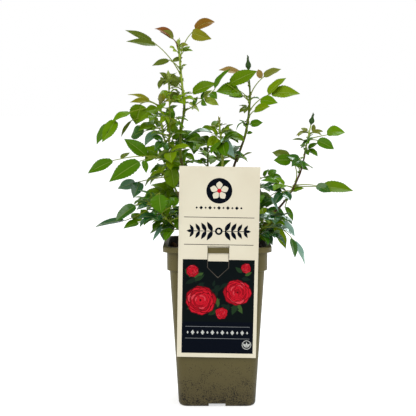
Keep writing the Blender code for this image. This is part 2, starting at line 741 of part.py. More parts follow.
def make_mass(name, limbs, leaves, collection):
    """One shoot's stem, stalks and leaflets, joined by one union."""
    pieces = new_collection(name + "_pieces")
    stem = as_mesh(limb_curve(name, limbs.stem, limbs.stem_radii, STEM_SIDES, collection, None))
    for i, leaf in enumerate(leaves):
        count = len(leaf.stalk)
        radii = [TWIG_ROOT + (TWIG_TIP - TWIG_ROOT) * k / (count - 1) for k in range(count)]
        as_mesh(limb_curve(f"{name}_stalk_{i}", leaf.stalk, radii, TWIG_SIDES, pieces, None))
        for k, leaflet in enumerate(leaf.leaflets):
            make_leaflet(f"{name}_leaflet_{i}_{k}", leaflet, pieces)
    union = stem.modifiers.new("join", "BOOLEAN")
    union.operation = "UNION"
    union.solver = "MANIFOLD"
    union.operand_type = "COLLECTION"
    union.collection = pieces
    bpy.context.view_layer.update()
    graph = bpy.context.evaluated_depsgraph_get()
    joined = bpy.data.meshes.new_from_object(stem.evaluated_get(graph))
    stem.modifiers.clear()
    stem.data = joined
    joined.materials.clear()
    joined.materials.append(material("leaf"))
    for piece in list(pieces.objects):
        bpy.data.objects.remove(piece)
    bpy.data.collections.remove(pieces)
    keep_outer_body(stem)


def keep_outer_body(made):
    """Drops loose scraps and fills the hollows that a union seals: the largest shell stays."""
    mesh = bmesh.new()
    mesh.from_mesh(made.data)
    shells, seen = [], set()
    for start in mesh.faces:
        if start in seen:
            continue
        shell, waiting = [], [start]
        seen.add(start)
        while waiting:
            face = waiting.pop()
            shell.append(face)
            for edge in face.edges:
                for other in edge.link_faces:
                    if other not in seen:
                        seen.add(other)
                        waiting.append(other)
        shells.append(shell)
    shells.sort(key=len)
    for shell in shells[:-1]:
        bmesh.ops.delete(mesh, geom=shell, context="FACES")
    mesh.to_mesh(made.data)
    mesh.free()


def make_trunk(collection):
    points = [Vector((x, y, SOIL + height)) for x, y, height, _ in TRUNK]
    limb_curve("trunk", points, [ring[3] for ring in TRUNK], TRUNK_SIDES, collection, "brown_bark")


def make_plant(collection):
    section = bpy.data.curves.new("twig_section", "CURVE")
    section.dimensions = "2D"
    corners = section.splines.new("POLY")
    corners.points.add(TWIG_SIDES - 1)
    corners.use_cyclic_u = True
    for k, corner in enumerate(corners.points):
        angle = math.tau * k / TWIG_SIDES
        corner.co = (math.cos(angle) * MM, math.sin(angle) * MM, 0, 1)
    guide = add_object("twig_section", section, collection)
    make_trunk(collection)
    limbs, grown = grow()
    for name in SHOOTS:
        each = limbs[name]
        limb_curve("cane_" + name, each.cane, each.cane_radii, CANE_SIDES, collection, "green_bark")
        make_mass("leaves_" + name, each, grown[name], collection)
    bpy.data.objects.remove(guide)


# --- the pot and its soil ------------------------------------------------------------------------
def rounded_square(half, radius, height):
    """The corners of a level square with rounded corners, anticlockwise from above."""
    ring = []
    for quarter in range(4):
        start = math.radians(90 * quarter)
        middle = Matrix.Rotation(start, 3, UP) @ Vector((half - radius, half - radius, 0))
        for step in range(CORNER_STEPS + 1):
            angle = start + math.radians(90) * step / CORNER_STEPS
            place = middle + Vector((math.cos(angle), math.sin(angle), 0)) * radius
            ring.append((place + UP * height) * MM)
    return ring


def lofted(name, rings, collection, material_name):
    """A closed solid through the rings, from its first flat end to its last."""
    mesh = bmesh.new()
    loops = [[mesh.verts.new(corner) for corner in ring] for ring in rings]
    for low, high in zip(loops, loops[1:]):
        for k in range(len(low)):
            after = (k + 1) % len(low)
            mesh.faces.new((low[k], low[after], high[after], high[k]))
    mesh.faces.new(reversed(loops[0]))
    mesh.faces.new(loops[-1])
    bmesh.ops.recalc_face_normals(mesh, faces=mesh.faces)
    data = bpy.data.meshes.new(name)
    mesh.to_mesh(data)
    mesh.free()
    return add_object(name, data, collection, material_name)


def body_half(height):
    """Half the width of the pot's body, outside, at a height."""
    step = POT_HEIGHT - COLLAR_DEPTH
    share = (height - FOOT_EDGE) / (step - FOOT_EDGE)
    return (BASE_WIDTH + (BODY_WIDTH - BASE_WIDTH) * share) / 2


def add_cutter(name, low, high, cutters):
    mesh = bmesh.new()
    bmesh.ops.create_cube(mesh, size=1)
    size = [b - a for a, b in zip(low, high)]
    middle = [(a + b) / 2 for a, b in zip(low, high)]
    bmesh.ops.scale(mesh, vec=[side * MM for side in size], verts=mesh.verts)
    bmesh.ops.translate(mesh, vec=[side * MM for side in middle], verts=mesh.verts)
    data = bpy.data.meshes.new(name)
    mesh.to_mesh(data)
    mesh.free()
    made = add_object(name, data, cutters)
    made.hide_render = True
    made.display_type = "WIRE"
    return made


def cut_with(target, cutter):
    cut = target.modifiers.new("cut_" + cutter.name, "BOOLEAN")
    cut.operation = "DIFFERENCE"
    cut.object = cutter


def make_pot(collection, cutters):
    """The pot: one wall from the underside up to the lip and back down inside to the floor."""
    rim, collar = RIM_WIDTH / 2, COLLAR_WIDTH / 2
    step = POT_HEIGHT - COLLAR_DEPTH
    under_lip = POT_HEIGHT - LIP_DEPTH
    radius = CORNER_RADIUS
    profile = [  # half width, corner radius, height
        (body_half(0) - FOOT_EDGE * 0.8, radius * 0.75, 0),
        (body_half(0) - FOOT_EDGE * 0.25, radius * 0.9, FOOT_EDGE * 0.35),
        (body_half(FOOT_EDGE), radius, FOOT_EDGE),
        (body_half(step), radius, step),
        (collar, radius + WALL, step + COLLAR_SLOPE),
        (collar, radius + WALL, POT_HEIGHT - WALL),
        (rim - WALL, radius + 2 * WALL, POT_HEIGHT - WALL),
        (rim - WALL, radius + 2 * WALL, under_lip),
        (rim, radius + 3 * WALL, under_lip),
        (rim, radius + 3 * WALL, POT_HEIGHT - EDGE),
        (rim - EDGE, radius + 3 * WALL - EDGE, POT_HEIGHT),
        (collar - WALL, radius, POT_HEIGHT),
        (collar - WALL, radius, step + COLLAR_SLOPE + WALL),
        (body_half(step) - WALL, radius - WALL, step),
        (body_half(FLOOR) - WALL, radius - WALL, FLOOR),
    ]
    pot = lofted("pot", [rounded_square(*ring) for ring in profile], collection, "pot_plastic")
    reach = BASE_WIDTH / 2 - NOTCH_REACH
    for name, sign, axis in (("front", -1, 1), ("back", 1, 1), ("left", -1, 0), ("right", 1, 0)):
        low, high = [-NOTCH_WIDTH / 2] * 2, [NOTCH_WIDTH / 2] * 2
        low[axis], high[axis] = sorted((sign * reach, sign * (RIM_WIDTH / 2)))
        cut_with(pot, add_cutter("notch_" + name, (*low, -OVERCUT), (*high, NOTCH_HEIGHT), cutters))
    inner = -rim + WALL
    low = (-SLOT_WIDTH / 2, inner, POT_HEIGHT - WALL - OVERCUT)
    high = (SLOT_WIDTH / 2, inner + SLOT_DEPTH, POT_HEIGHT + OVERCUT)
    cut_with(pot, add_cutter("tongue_slot", low, high, cutters))


def make_soil(collection):
    """The pot's filling, just clear of its walls and floor."""
    step = POT_HEIGHT - COLLAR_DEPTH
    inset = WALL + GAP
    radius = CORNER_RADIUS
    profile = [
        (body_half(FLOOR) - inset, radius - WALL, FLOOR + GAP),
        (body_half(step) - inset, radius - WALL, step - GAP),
        (COLLAR_WIDTH / 2 - inset, radius, step + COLLAR_SLOPE + WALL + GAP),
        (COLLAR_WIDTH / 2 - inset, radius, SOIL),
    ]
    lofted("soil", [rounded_square(*ring) for ring in profile], collection, "compost")


# --- the label -----------------------------------------------------------------------------------
def card_object(name, outlines, collection):
    """A flat card in the XZ plane, its middle at the lip, cut to an outline and the holes in it."""
    data = bpy.data.curves.new(name, "CURVE")
    data.dimensions = "2D"
    data.fill_mode = "BOTH"
    data.extrude = LABEL_THICKNESS / 2 * MM
    for outline_points in outlines:
        spline = data.splines.new("POLY")
        spline.points.add(len(outline_points) - 1)
        spline.use_cyclic_u = True
        for place, (x, z) in zip(spline.points, outline_points):
            place.co = (x * MM, (z - LABEL_REST) * MM, 0, 1)
    made = add_object(name, data, collection)
    made.matrix_world = label_place() @ Matrix.Rotation(math.radians(90), 4, "X")
    bpy.context.view_layer.update()
    return as_mesh(made)


def label_place():
    """Where the label rests against the pot's lip, and how it leans and turns."""
    where = Vector((LABEL_SHIFT, -RIM_WIDTH / 2 - LABEL_STANDOFF, LABEL_REST)) * MM
    lean = Matrix.Rotation(math.radians(LABEL_LEAN), 4, "X")
    turn = Matrix.Rotation(math.radians(LABEL_TURN), 4, "Y")
    return Matrix.Translation(where) @ lean @ turn


def make_tongue(collection):
    """The strip that bends back over the rim, down the slot behind the lip and out to the front again."""
    rings = []
    for height, back, half in TONGUE_BENDS:
        z = height - LABEL_REST
        thick = TONGUE_THICKNESS / 2
        ring = ((-half, back - thick), (half, back - thick), (half, back + thick), (-half, back + thick))
        rings.append([Vector((x, y, z)) * MM for x, y in ring])
    tongue = lofted("label_tongue", rings, collection, None)
    tongue.matrix_world = label_place()
    tongue.hide_render = True
    tongue.display_type = "WIRE"
    return tongue


def make_label(collection, cutters):
    """The card that hangs on the rim, with a pointed tongue cut in it."""
    half = LABEL_WIDTH / 2
    card = [(-half, LABEL_FOOT), (half, LABEL_FOOT), (half, LABEL_TOP), (-half, LABEL_TOP)]
    side = TONGUE_WIDTH / 2 + TONGUE_PLAY
    window = [
        (-side, TONGUE_HINGE),
        (-side, TONGUE_SHOULDER),
        (0, TONGUE_TIP - TONGUE_PLAY * 1.5),
        (side, TONGUE_SHOULDER),
        (side, TONGUE_HINGE),
    ]
    label = card_object("label", [card, window], collection)
    label.data.materials.append(material("label_card"))
    hinge = label.modifiers.new("hinge", "BOOLEAN")
    hinge.operation = "UNION"
    hinge.object = make_tongue(cutters)


def main():
    for old in list(bpy.data.objects):
        bpy.data.objects.remove(old)
    parts = new_collection("rose_bush_in_pot")
    cutters = new_collection("cutters")
    make_pot(parts, cutters)
    make_soil(parts)
    make_label(parts, cutters)
    make_plant(parts)


main()
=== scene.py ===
"""The looks of a young rose bush in its square nursery pot, with a card label hanging on the rim.

The plant grows here by the same rule as its solids do, from the same named sizes, and is then drawn
finer: serrated leaflets with veins, stipules, prickles, sepals and bark. Sizes are in millimetres and
become metres where a mesh is made. +Z is up, +X is to the right and -Y is the front. A heading is an
angle on the ground in degrees: 0 is right, 90 is back, 180 is left and 270 is front.
"""

import random
from collections import namedtuple
from itertools import accumulate, product
from math import ceil, cos, exp, inf, pi, radians, sin, tau

import bpy
import numpy as np
from mathutils import Matrix, Vector, noise
from mathutils.bvhtree import BVHTree


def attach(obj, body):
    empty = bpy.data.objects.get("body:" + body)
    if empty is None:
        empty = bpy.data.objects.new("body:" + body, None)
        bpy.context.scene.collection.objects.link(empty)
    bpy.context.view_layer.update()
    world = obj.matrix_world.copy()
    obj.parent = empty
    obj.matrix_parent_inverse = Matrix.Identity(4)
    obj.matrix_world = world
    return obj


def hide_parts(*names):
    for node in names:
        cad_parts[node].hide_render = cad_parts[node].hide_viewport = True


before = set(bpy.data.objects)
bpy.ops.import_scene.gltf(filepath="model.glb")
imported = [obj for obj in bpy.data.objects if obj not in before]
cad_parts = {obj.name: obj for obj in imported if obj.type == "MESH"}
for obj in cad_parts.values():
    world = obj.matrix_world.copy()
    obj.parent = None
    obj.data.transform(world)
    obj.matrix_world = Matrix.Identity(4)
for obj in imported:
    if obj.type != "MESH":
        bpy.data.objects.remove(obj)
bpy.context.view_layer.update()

MM = 0.001
GAP = 0.3  # between pieces that meet
UP = Vector((0, 0, 1))
FRONT = Vector((0, -1, 0))

# --- the pot -------------------------------------------------------------------------------------
POT_HEIGHT = 231.0
RIM, COLLAR = 150.0 / 2, 138.6 / 2  # half widths
BODY_WIDTH, BASE_WIDTH = 131.2, 110.0  # just under the collar and at the foot
COLLAR_FOOT = POT_HEIGHT - 35.0  # height of the step under the collar
UNDER_LIP = POT_HEIGHT - 7.5
WALL = 1.6
FLOOR = 7.0
CORNER_RADIUS = 13.0
FOOT_EDGE = 5.0  # height of the rounded edge between the walls and the underside
EDGE = 0.7  # slope round the top of the lip
COLLAR_SLOPE = 1.5  # height of the step under the collar
NOTCH_WIDTH, NOTCH_HEIGHT = 24.0, 4.5  # in the middle of each side's foot
OVERCUT = 2.0  # how far a cutter reaches past what it cuts
SLOT_WIDTH, SLOT_DEPTH = 33.0, 2.4  # in the rim, for the label's tongue
SOIL = POT_HEIGHT - 10.0

# --- the label -----------------------------------------------------------------------------------
LABEL_WIDTH, LABEL_TOP, LABEL_THICKNESS = 112.0, 346.0, 0.7
LABEL_LEAN = 4.6  # degrees that its top leans to the front
LABEL_TURN = 1.0  # degrees clockwise, seen from the front
LABEL_SHIFT = 1.5  # to the right
LABEL_REST = 227.0  # the height of the lip's middle, which the card rests against
LABEL_STANDOFF = 1.0  # from the lip's face to the middle of the card
TONGUE_WIDTH, TONGUE_SHOULDER, TONGUE_TIP, TONGUE_THICKNESS = 29.0, 203.0, 189.0, 0.5
TONGUE_PLAY = 0.7  # width of the cut round the tongue

# --- the plant -----------------------------------------------------------------------------------
SEED = 7
CURVE_STEP = 18.0  # between the points of a limb
FINE_STEPS = 20  # of a smooth path, between two of its points
CANE_STEP = 0.5  # of the search for where a cane comes clear of the trunk
TRUNK = [  # x, y, height above the soil, radius
    (0, 3, GAP, 13.0), (0, 3, 8, 9.5), (-1, 4, 16, 11.0), (0, 4, 23, 10.5), (0, 4, 29, 6.0),
]
CANE_ROOT, STEM_ROOT, STEM_TIP, TWIG = 2.5, 1.5, 0.9, 0.8  # radii
BUD = [(0, 1.4), (2, 2.4), (5, 3.6), (8, 3.4), (11.5, 1.8), (15, 0.9), (20, 0.4)]  # height, radius
KEEL = 0.55  # depth of a leaflet's keel under its blade
FOLD = 0.28  # rise of a leaflet's edges, for each unit of half width
BROAD = 0.56  # width of a leaflet, for its length
RING_PLACES = (0.2, 0.42, 0.75)  # where along a leaflet its room is tested
SUNK = 0.3  # how far a leaflet's foot runs past the middle of its stalk
PAIR_STEP = 0.85  # size of each pair of leaflets, the next pair outwards being 1
PAIR_PLACES = (0.86, 0.55, 0.30)  # along the stalk
END_LAP = 2.0  # how far the end leaflet's foot lies back along the stalk
BEND_SHARE, BEND_DOWN, BEND_UP = 0.35, 35, 20  # a stalk's bend, for its rise less its droop; limits
SIZE_SPREAD = (0.9, 1.08)  # of the leaflets of a pair, as shares of their size
SPREAD_DEGREES, ROLL_DEGREES = 8, 22  # most that a paired leaflet strays
DIP = (-0.25, 0.12)  # how far a paired leaflet points below or above its leaf, as a slope
CLEAR = 0.7  # room that a leaf leaves round other things
LABEL_ROOM = 3.0  # the same beside the label and over it
LABEL_VIEW = 60.0  # how far in front of the label no leaf hides it
TURNS = (0, 8, -8, 16, -16, 26, -26, 38, -38)  # degrees that a leaf may turn to find room
DEAREST_TURN = 40  # degrees of turn that count as much as a leaflet left out
STALK_START = 0.3  # of a stalk's first stretch, which lies in its stem and isn't tested
LEAF_INSET = 2  # from each end of the leafy stem to the feet of its first and last leaves
SPIRAL = 144.0  # degrees from one leaf of a stem to the next
LAST_LEAF = 0.97  # of a stem, where the leaves that fill it end
FIRST_SCALE, TIP_LOSS = 1.15, 0.5  # size of those leaves at the foot, and how much less at the tip
TIP_LIFT = 20  # degrees more that they rise at its tip
HEADING_STRAY, RISE_STRAY, DROOP_STRAY = 15, 10, 12  # degrees that chance turns them
SCALE_RANGE, SHOW_RANGE, ARCH_RANGE = (0.9, 1.1), (-10, 40), (25, 70)

# A shoot is a cane from the trunk and the leafy stem that carries on from it. leafy is the share of
# the path where the cane ends. fill describes the leaves that follow one another round the stem: how
# many, the first one's heading, rise, reach, droop, size and pairs, and the share of the stem where
# the first one stands. deal has the tints dealt to leaves that bring none. girth is the stem's
# thickness, for the solid's. tip is the tint and the length of the small upright leaves that end a
# shoot, bud how tall a flower bud ends it, the solid's being 1, and bark the colours along the shoot,
# each with the share of its length where it ends.
Fill = namedtuple("Fill", "count heading rise reach droop size pairs first", defaults=(0.1,))
Shoot = namedtuple(
    "Shoot",
    "path leafy fill deal girth tip bud bark",
    defaults=(1.1, None, 0, (("brown", 0.2), ("olive", 0.45), ("green", 1))),
)
SHOOTS = {
    "tall": Shoot(
        [(-1, 4, 240), (-14, 1, 262), (-34, -2, 300), (-51, -3, 345), (-52, -4, 390), (-47, -4, 425),
         (-51, -3, 466), (-55, 0, 512)],
        0.55, Fill(3, 60, 45, 12, 20, 13, "B", 0.9), "wl", girth=1.35, tip=("w", 17),
        bark=(("brown", 0.2), ("olive", 0.42), ("green", 0.7), ("lime", 1)),
    ),
    "budded": Shoot(
        [(1, 4, 240), (6, 2, 268), (14, 0, 305), (25, 0, 342), (41, 0, 387), (47, -4, 436), (45, -5, 479)],
        0.46, Fill(0, 0, 0, 0, 0, 0, ""), "m", girth=1.25, bud=1,
        bark=(("red", 0.35), ("brown", 0.45), ("olive", 0.6), ("green", 1)),
    ),
    "right": Shoot(
        [(5, 3, 234), (22, 5, 248), (48, 8, 256), (81, 10, 271), (104, 3, 298), (121, -2, 334),
         (128, -4, 368), (135, -4, 401)],
        0.5, Fill(2, 80, 30, 20, -10, 24, "BB", 0.35), "m", girth=1, bud=0.8,
        bark=(("olive", 0.3), ("red", 0.86), ("lime", 1)),
    ),
    "middle": Shoot(
        [(1, 10, 236), (0, 19, 256), (4, 12, 300), (8, -4, 350), (4, -13, 395), (3, -13, 408)],
        0.66, Fill(4, 80, 8, 24, -15, 30, "BB", 0.05), "nfl", tip=("y", 9),
        bark=(("brown", 0.2), ("olive", 0.4), ("lime", 1)),
    ),
    "rear_left": Shoot(
        [(-4, 6, 236), (-24, 18, 262), (-48, 24, 304), (-67, 25, 348), (-79, 30, 388), (-82, 30, 431)],
        0.5, Fill(5, 70, 15, 28, -15, 30, "BB", 0.05), "nmf", girth=0.9, tip=("y", 17),
        bark=(("brown", 0.2), ("olive", 0.4), ("lime", 1)),
    ),
    "left": Shoot(
        [(-4, 2, 234), (-30, -12, 262), (-58, -26, 306), (-70, -20, 346), (-67, -25, 400), (-68, -27, 440),
         (-69, -28, 466)],
        0.44, Fill(5, 118, 8, 28, -20, 28, "BB", 0.02), "nfl", girth=0.85, tip=("w", 17),
        bark=(("brown", 0.2), ("olive", 0.35), ("green", 0.85), ("lime", 1)),
    ),
    "low_left": Shoot(
        [(-4, 0, 230), (-30, -22, 243), (-60, -40, 262), (-84, -48, 284), (-96, -50, 300)],
        0.45, Fill(4, 100, 12, 24, -25, 30, "BB", 0.15), "dmcf", girth=0.85,
    ),
    "low_right": Shoot(
        [(5, 1, 229), (30, -8, 239), (56, -20, 252), (78, -26, 262), (92, -28, 264)],
        0.5, Fill(3, 60, 5, 22, -30, 28, "BB"), "mlcf",
    ),
    "rear": Shoot(
        [(-2, 8, 234), (-7, 34, 252), (-11, 66, 288), (-13, 84, 330), (-14, 90, 376)],
        0.5, Fill(5, 20, 0, 30, -25, 32, "BB", 0.05), "mnf",
    ),
    "rear_right": Shoot(
        [(4, 7, 232), (24, 30, 246), (46, 58, 276), (60, 82, 306), (64, 94, 326)],
        0.5, Fill(6, 340, 5, 30, -20, 30, "BB", 0.05), "md",
    ),
    "far_left": Shoot(
        [(-3, 8, 230), (-22, 36, 246), (-46, 66, 288), (-60, 86, 332), (-64, 94, 356)],
        0.5, Fill(6, 60, 10, 30, -20, 32, "BB", 0.05), "mn",
    ),
    "front_left": Shoot(
        [(-3, -1, 227), (-26, -34, 238), (-56, -64, 258), (-82, -84, 284), (-92, -90, 300)],
        0.5, Fill(6, 150, 5, 26, -30, 32, "BB", 0.05), "cdm", girth=0.85,
    ),
    "front_right": Shoot(
        [(3, -2, 227), (24, -30, 236), (50, -52, 248), (76, -70, 266), (88, -76, 280)],
        0.5, Fill(5, 30, 0, 24, -30, 28, "BB"), "dcm",
    ),
}

# The leaves of a shoot that the solids have too, followed there by those of its fill. tints has a
# letter for each leaflet from the end inwards, the last one serving the rest. A leaf leaves its stem
# at a share of the leafy length. Its stalk runs for reach with a heading and a rise, and bends so that
# the end leaflet, size long, points at droop degrees from level. pairs has a letter for each pair of
# leaflets from the end inwards: B for both, U for the upper one, D for the lower one. show turns the
# blades towards the front, or away from it below 0. arch is how far each blade curls down, broad its
# width for its length, spread the angle between a paired leaflet and the stalk, pair the size of the
# outer pair, the end leaflet being 1, swing how far the end leaflet turns aside from its stalk, and
# fan how many degrees more each inner pair spreads than the last.
Leaf = namedtuple(
    "Leaf",
    "tints at heading rise reach droop size pairs show arch broad spread pair swing fan",
    defaults=("BB", 25, 45, BROAD, 58, 0.95, 0, 0),
)
LEAVES = {
    "tall": [
        ("ay", 0.82, 15, 66, 54, 20, 36, "D", 50, 80, 0.44, 82, 1.02),
        ("bo", 0.96, 195, 63, 22, 29, 33, "D", 55, 75, 0.44, 24, 0.8),
        ("kkk", 0.68, 185, 50, 64, 24, 44, "D", 60, 15, 0.24, 34, 1.2),
        ("k", 0.46, 170, 46, 30, -34, 22, "BB", 30, 100),
        ("l", 0.04, 225, 54, 25, -57, 26, "", 60, 20, 0.4),
        ("m", 0.27, 335, 33, 58, 50, 40, "DBU", 45, 25, 0.44, 62, 0.58),
        ("n", 0.48, 335, 0, 14, 20, 43, "", 60, 25, 0.46),
        ("k", 0.42, 200, 33, 10, -21, 20, "B", 40),
        ("y", 0.99, 30, 60, 4, 10, 17, "", 30, 70, 0.5),
        ("k", 0.6, 190, 60, 38, -15, 27, "U", 60, 20, 0.35, 125, 0.75),
    ],
    "budded": [
        ("f", 0.63, 205, 50, 26, 0, 39, "D", 60, 30, 0.6, 45, 0.6),
        ("p", 0.82, 190, 56, 25, 10, 34, "", 40, 30, 0.4),
        ("op", 0.72, 10, 54, 35, 23, 30, "U", 40, 30, 0.5, 70, 0.6),
        ("llf", 0.55, 350, 39, 41, 2, 44, "UD", 50, 25, 0.48, 26, 0.9, 0, 28),
        ("n", 0.66, 195, 34, 45, 26, 47, "", 60, 25, 0.42, 58, 0.95, 165),
        ("d", 0.7, 195, 20, 12, 0, 20, "", 60, 25, 0.5),
        ("k", 0.59, 200, 0, 5, -30, 15, "B", 30),
        ("lf", 0.47, 325, 48, 16, 14, 29, "", 50, 25, 0.5),
        ("m", 0.43, 200, -5, 7, -43, 19, "", 10, 80, 0.25),
        ("m", 0.41, 345, -3, 5, 5, 20, "", 70, 20, 0.55),
        ("m", 0.31, 330, -15, 4, 1, 10, "", 60),
        ("k", 0.02, 340, -1, 9, 24, 18, "", 20, 40, 0.4),
    ],
    "right": [
        ("f", 0.82, 12, 12, 30, 6, 31, "", 45, 75, 0.6),
        ("m", 0.81, 345, -1, 15, -27, 29, "", 55, 30, 0.55),
        ("k", 0.82, 195, -14, 7, 4, 19, "", 25, 20, 0.34),
        ("o", 0.9, 170, 9, 6, -17, 16, "B", 20),
        ("kmm", 0.22, 165, 77, 40, 16, 28, "D", 40, 20, 0.58, 66, 1),
        ("d", 0.59, 220, -23, 11, -30, 20, "B", 45),
        ("m", 0.65, 320, 30, 8, -28, 20, "B", 30),
        ("n", 0.17, 355, 1, 41, -6, 48, "", 55, 20, 0.42),
        ("d", 0.19, 345, 1, 33, -22, 24, "", 50, 30, 0.6),
        ("mf", 0.16, 200, 15, 26, 10, 28, "BB", 25, 30, 0.42),
        ("c", 0.1, 235, 0, 26, -35, 29, "BB", 25, 30, 0.45),
        ("c", 0.02, 185, 48, 27, -15, 20, "B", 20, 60, 0.4),
        ("m", 0.02, 235, -62, 17, -57, 25, "", 30, 25, 0.36, 58, 0.95, 95),
        ("o", 0.87, 15, 30, 9, 8, 17, "B", 45, 50, 0.38),
        ("f", 0.1, 350, 10, 4, 15, 18, "", 40, 25, 0.5),
        ("g", 0.08, 200, -7, 33, -62, 27, "", 20, 15, 0.22, 58, 0.95, 130),
    ],
    "middle": [
        ("o", 0.85, 195, 14, 3, 1, 15, "", 10, 20, 0.35),
        ("o", 0.87, 340, 35, 3, 13, 12, "", 10, 20, 0.35),
        ("d", 0.68, 190, -3, 11, -9, 46, "", 15, 75, 0.4),
        ("s", 0.61, 320, -28, 5, -50, 37, "", 65, 25, 0.38),
        ("k", 0.65, 20, 30, 5, 18, 19, "B", 20, 60, 0.34, 40),
        ("l", 0.53, 220, 22, 10, -33, 24, "B", 60),
        ("m", 0.4, 250, 10, 22, -40, 32, "BB", 30, 30),
        ("n", 0.26, 175, 18, 26, 9, 30, "B"),
        ("d", 0.1, 10, 12, 16, -10, 24, "B", 20),
    ],
    "rear_left": [
        ("y", 0.96, 165, 28, 20, 16, 37, "D", 30, 35, 0.28, 40),
        ("kly", 0.97, 30, 44, 16, 23, 24, "BB", 25, 40),
        ("mf", 0.94, 200, -15, 81, -56, 38, "DD", 40, 30, 0.42, 24, 1.15),
        ("h", 0.59, 215, 26, 10, -39, 34, "", 20, 30, 0.5),
        ("d", 0.67, 150, -10, 32, -20, 27, "", 60, 25, 0.85),
        ("n", 0.92, 210, 22, 7, -17, 26, "", 50, 40),
        ("n", 0.9, 195, 20, 33, -75, 32, "", 75, 20, 0.8),
        ("m", 0.63, 60, 38, 23, 70, 24, "B", 60),
        ("k", 0.74, 190, 4, 46, -55, 29, "", 40, 30, 0.22),
    ],
    "left": [
        ("k", 0.9, 205, 64, 17, -52, 18, "B", 30, 90),
        ("k", 0.96, 350, 58, 12, -40, 15, "B", 30),
        ("mk", 0.21, 190, -2, 79, -26, 42, "U", 45, 20, 0.42, 140, 0.55),
        ("m", 0.2, 210, -2, 45, -29, 58, "D", 50, 20, 0.38, 75, 0.4),
        ("m", 0.23, 168, -2, 32, 38, 43, "", 60, 20, 0.44),
        ("m", 0.17, 215, -22, 8, 60, 28, "", 60, 20, 0.5),
        ("n", 0.14, 330, -40, 9, -75, 30, "", 75, 20, 0.8),
        ("d", 0.39, 222, -8, 12, -36, 22, "B", 40),
        ("hc", 0.02, 195, -9, 52, -18, 29, "D", 60, 25, 0.55),
        ("m", 0.12, 340, 0, 5, 0, 20, "", 60, 25, 0.55),
    ],
    "low_left": [
        ("c", 0.83, 190, -27, 48, -10, 46, "", 40, 30, 0.24),
        ("mf", 0.55, 200, -16, 40, -18, 25, "UU", 40, 30, BROAD, 75, 1.1),
        ("d", 0.92, 190, 70, 6, -3, 20, "", 20, 20, 0.35),
        ("d", 0.98, 180, 90, 8, 17, 20, "", 20, 20, 0.35),
        ("g", 0.45, 230, -48, 17, -42, 30, "", 30, 20, 0.2),
        ("f", 0.7, 320, 60, 22, -75, 27, "", 75, 20, 0.8),
        ("m", 0.52, 300, -6, 27, -60, 24, "B", 30),
        ("d", 0.84, 190, 0, 28, -38, 40, "", 45, 25, 0.46),
        ("h", 0.9, 190, -30, 6, -22, 22, "", 30, 30, 0.4),
    ],
    "low_right": [
        ("gd", 0.71, 350, -38, 42, -65, 40, "D", 25, 25, 0.34, 45, 0.85),
        ("ld", 0.68, 335, -32, 9, -62, 38, "", 30, 20, 0.4),
        ("c", 0.45, 320, -70, 8, -62, 26, "B", 40, 20, 0.42),
        ("g", 0.84, 10, 0, 12, -51, 30, "", 40, 20, 0.44),
        ("l", 0.45, 20, 80, 11, 2, 26, "B", 20, 30),
    ],
    "rear": [
        ("m", 0.95, 190, 10, 14, -20, 32, "B", 35, 40),
        ("m", 0.85, 345, 0, 16, -30, 32, "B", 35, 40),
    ],
}

# Leaves that only this script has: once every shoot has those of the solids, these take the room that
# is left, by the same rule. First single leaves, then those that follow one another round the stem.
MORE = {
    "left": (
        [
            ("", 0.16, 350, 5, 6, -12, 18, "", 60, 25, 0.55),
            ("", 0.3, 75, 30, 12, -20, 20, "B", 50, 25, 0.45),
            ("", 0.55, 60, 20, 12, -30, 18, "B", 40, 30, 0.45),
            ("", 0.62, 200, 10, 14, -30, 18, "B", 40, 30, 0.45),
            ("", 0.75, 10, 40, 10, -10, 15, "B", 40, 40, 0.4),
        ],
        Fill(7, 130, 10, 18, -25, 20, "B", 0.02),
    ),
    "rear_left": (
        [
            ("", 0.45, 330, 20, 14, -35, 20, "B", 50, 30, 0.45),
            ("", 0.6, 340, 30, 12, -20, 18, "B", 50, 30, 0.45),
            ("", 0.75, 350, 30, 10, -30, 17, "B", 50, 30, 0.45),
        ],
        Fill(6, 200, 15, 20, -20, 20, "B", 0.05),
    ),
    "tall": (
        [
            ("", 0.36, 345, 5, 8, -30, 17, "", 50, 30, 0.5),
            ("", 0.41, 350, 0, 31, -20, 24, "U", 55, 25, 0.5),
        ],
        Fill(4, 200, 20, 14, -20, 15, "B", 0.02),
    ),
    "middle": ([], Fill(3, 20, 15, 18, -15, 20, "B", 0.02)),
    "low_left": ([], Fill(10, 200, 0, 18, -35, 22, "B", 0.05)),
    "low_right": ([], Fill(7, 300, 0, 18, -40, 22, "B", 0.05)),
    "budded": ([], Fill(3, 100, 20, 12, -20, 15, "B", 0.05)),
    "rear": ([], Fill(4, 200, 10, 22, -20, 23, "BB", 0.02)),
    "rear_right": ([], Fill(7, 100, 10, 22, -20, 23, "BB", 0.02)),
    "far_left": ([], Fill(8, 200, 10, 22, -20, 23, "BB", 0.02)),
    "front_left": (
        [
            ("m", 0.87, 318, 62, 22, -80, 28, "", 75, 20, 0.9),
        ],
        Fill(8, 250, 5, 18, -35, 20, "B", 0.05),
    ),
    "front_right": ([], Fill(6, 280, 0, 18, -35, 20, "B", 0.05)),
}


# --- paths ---------------------------------------------------------------------------------------
def between(one, other, share):
    return one + (other - one) * share


def direction(heading, rise):
    level, across = cos(radians(rise)), radians(heading)
    return Vector((level * cos(across), level * sin(across), sin(radians(rise))))


def rolled(vector, axis, angle):
    return Matrix.Rotation(angle, 3, axis) @ vector


def squared(vector, axis):
    """The part of a vector that is square to the axis, made 1 long."""
    return (vector - axis * vector.dot(axis)).normalized()


def spokes(along, count, reach=1.0):
    """Evenly round an axis and square to it, as long as reach."""
    side = along.orthogonal().normalized() * reach
    return [rolled(side, along, tau * k / count) for k in range(count)]


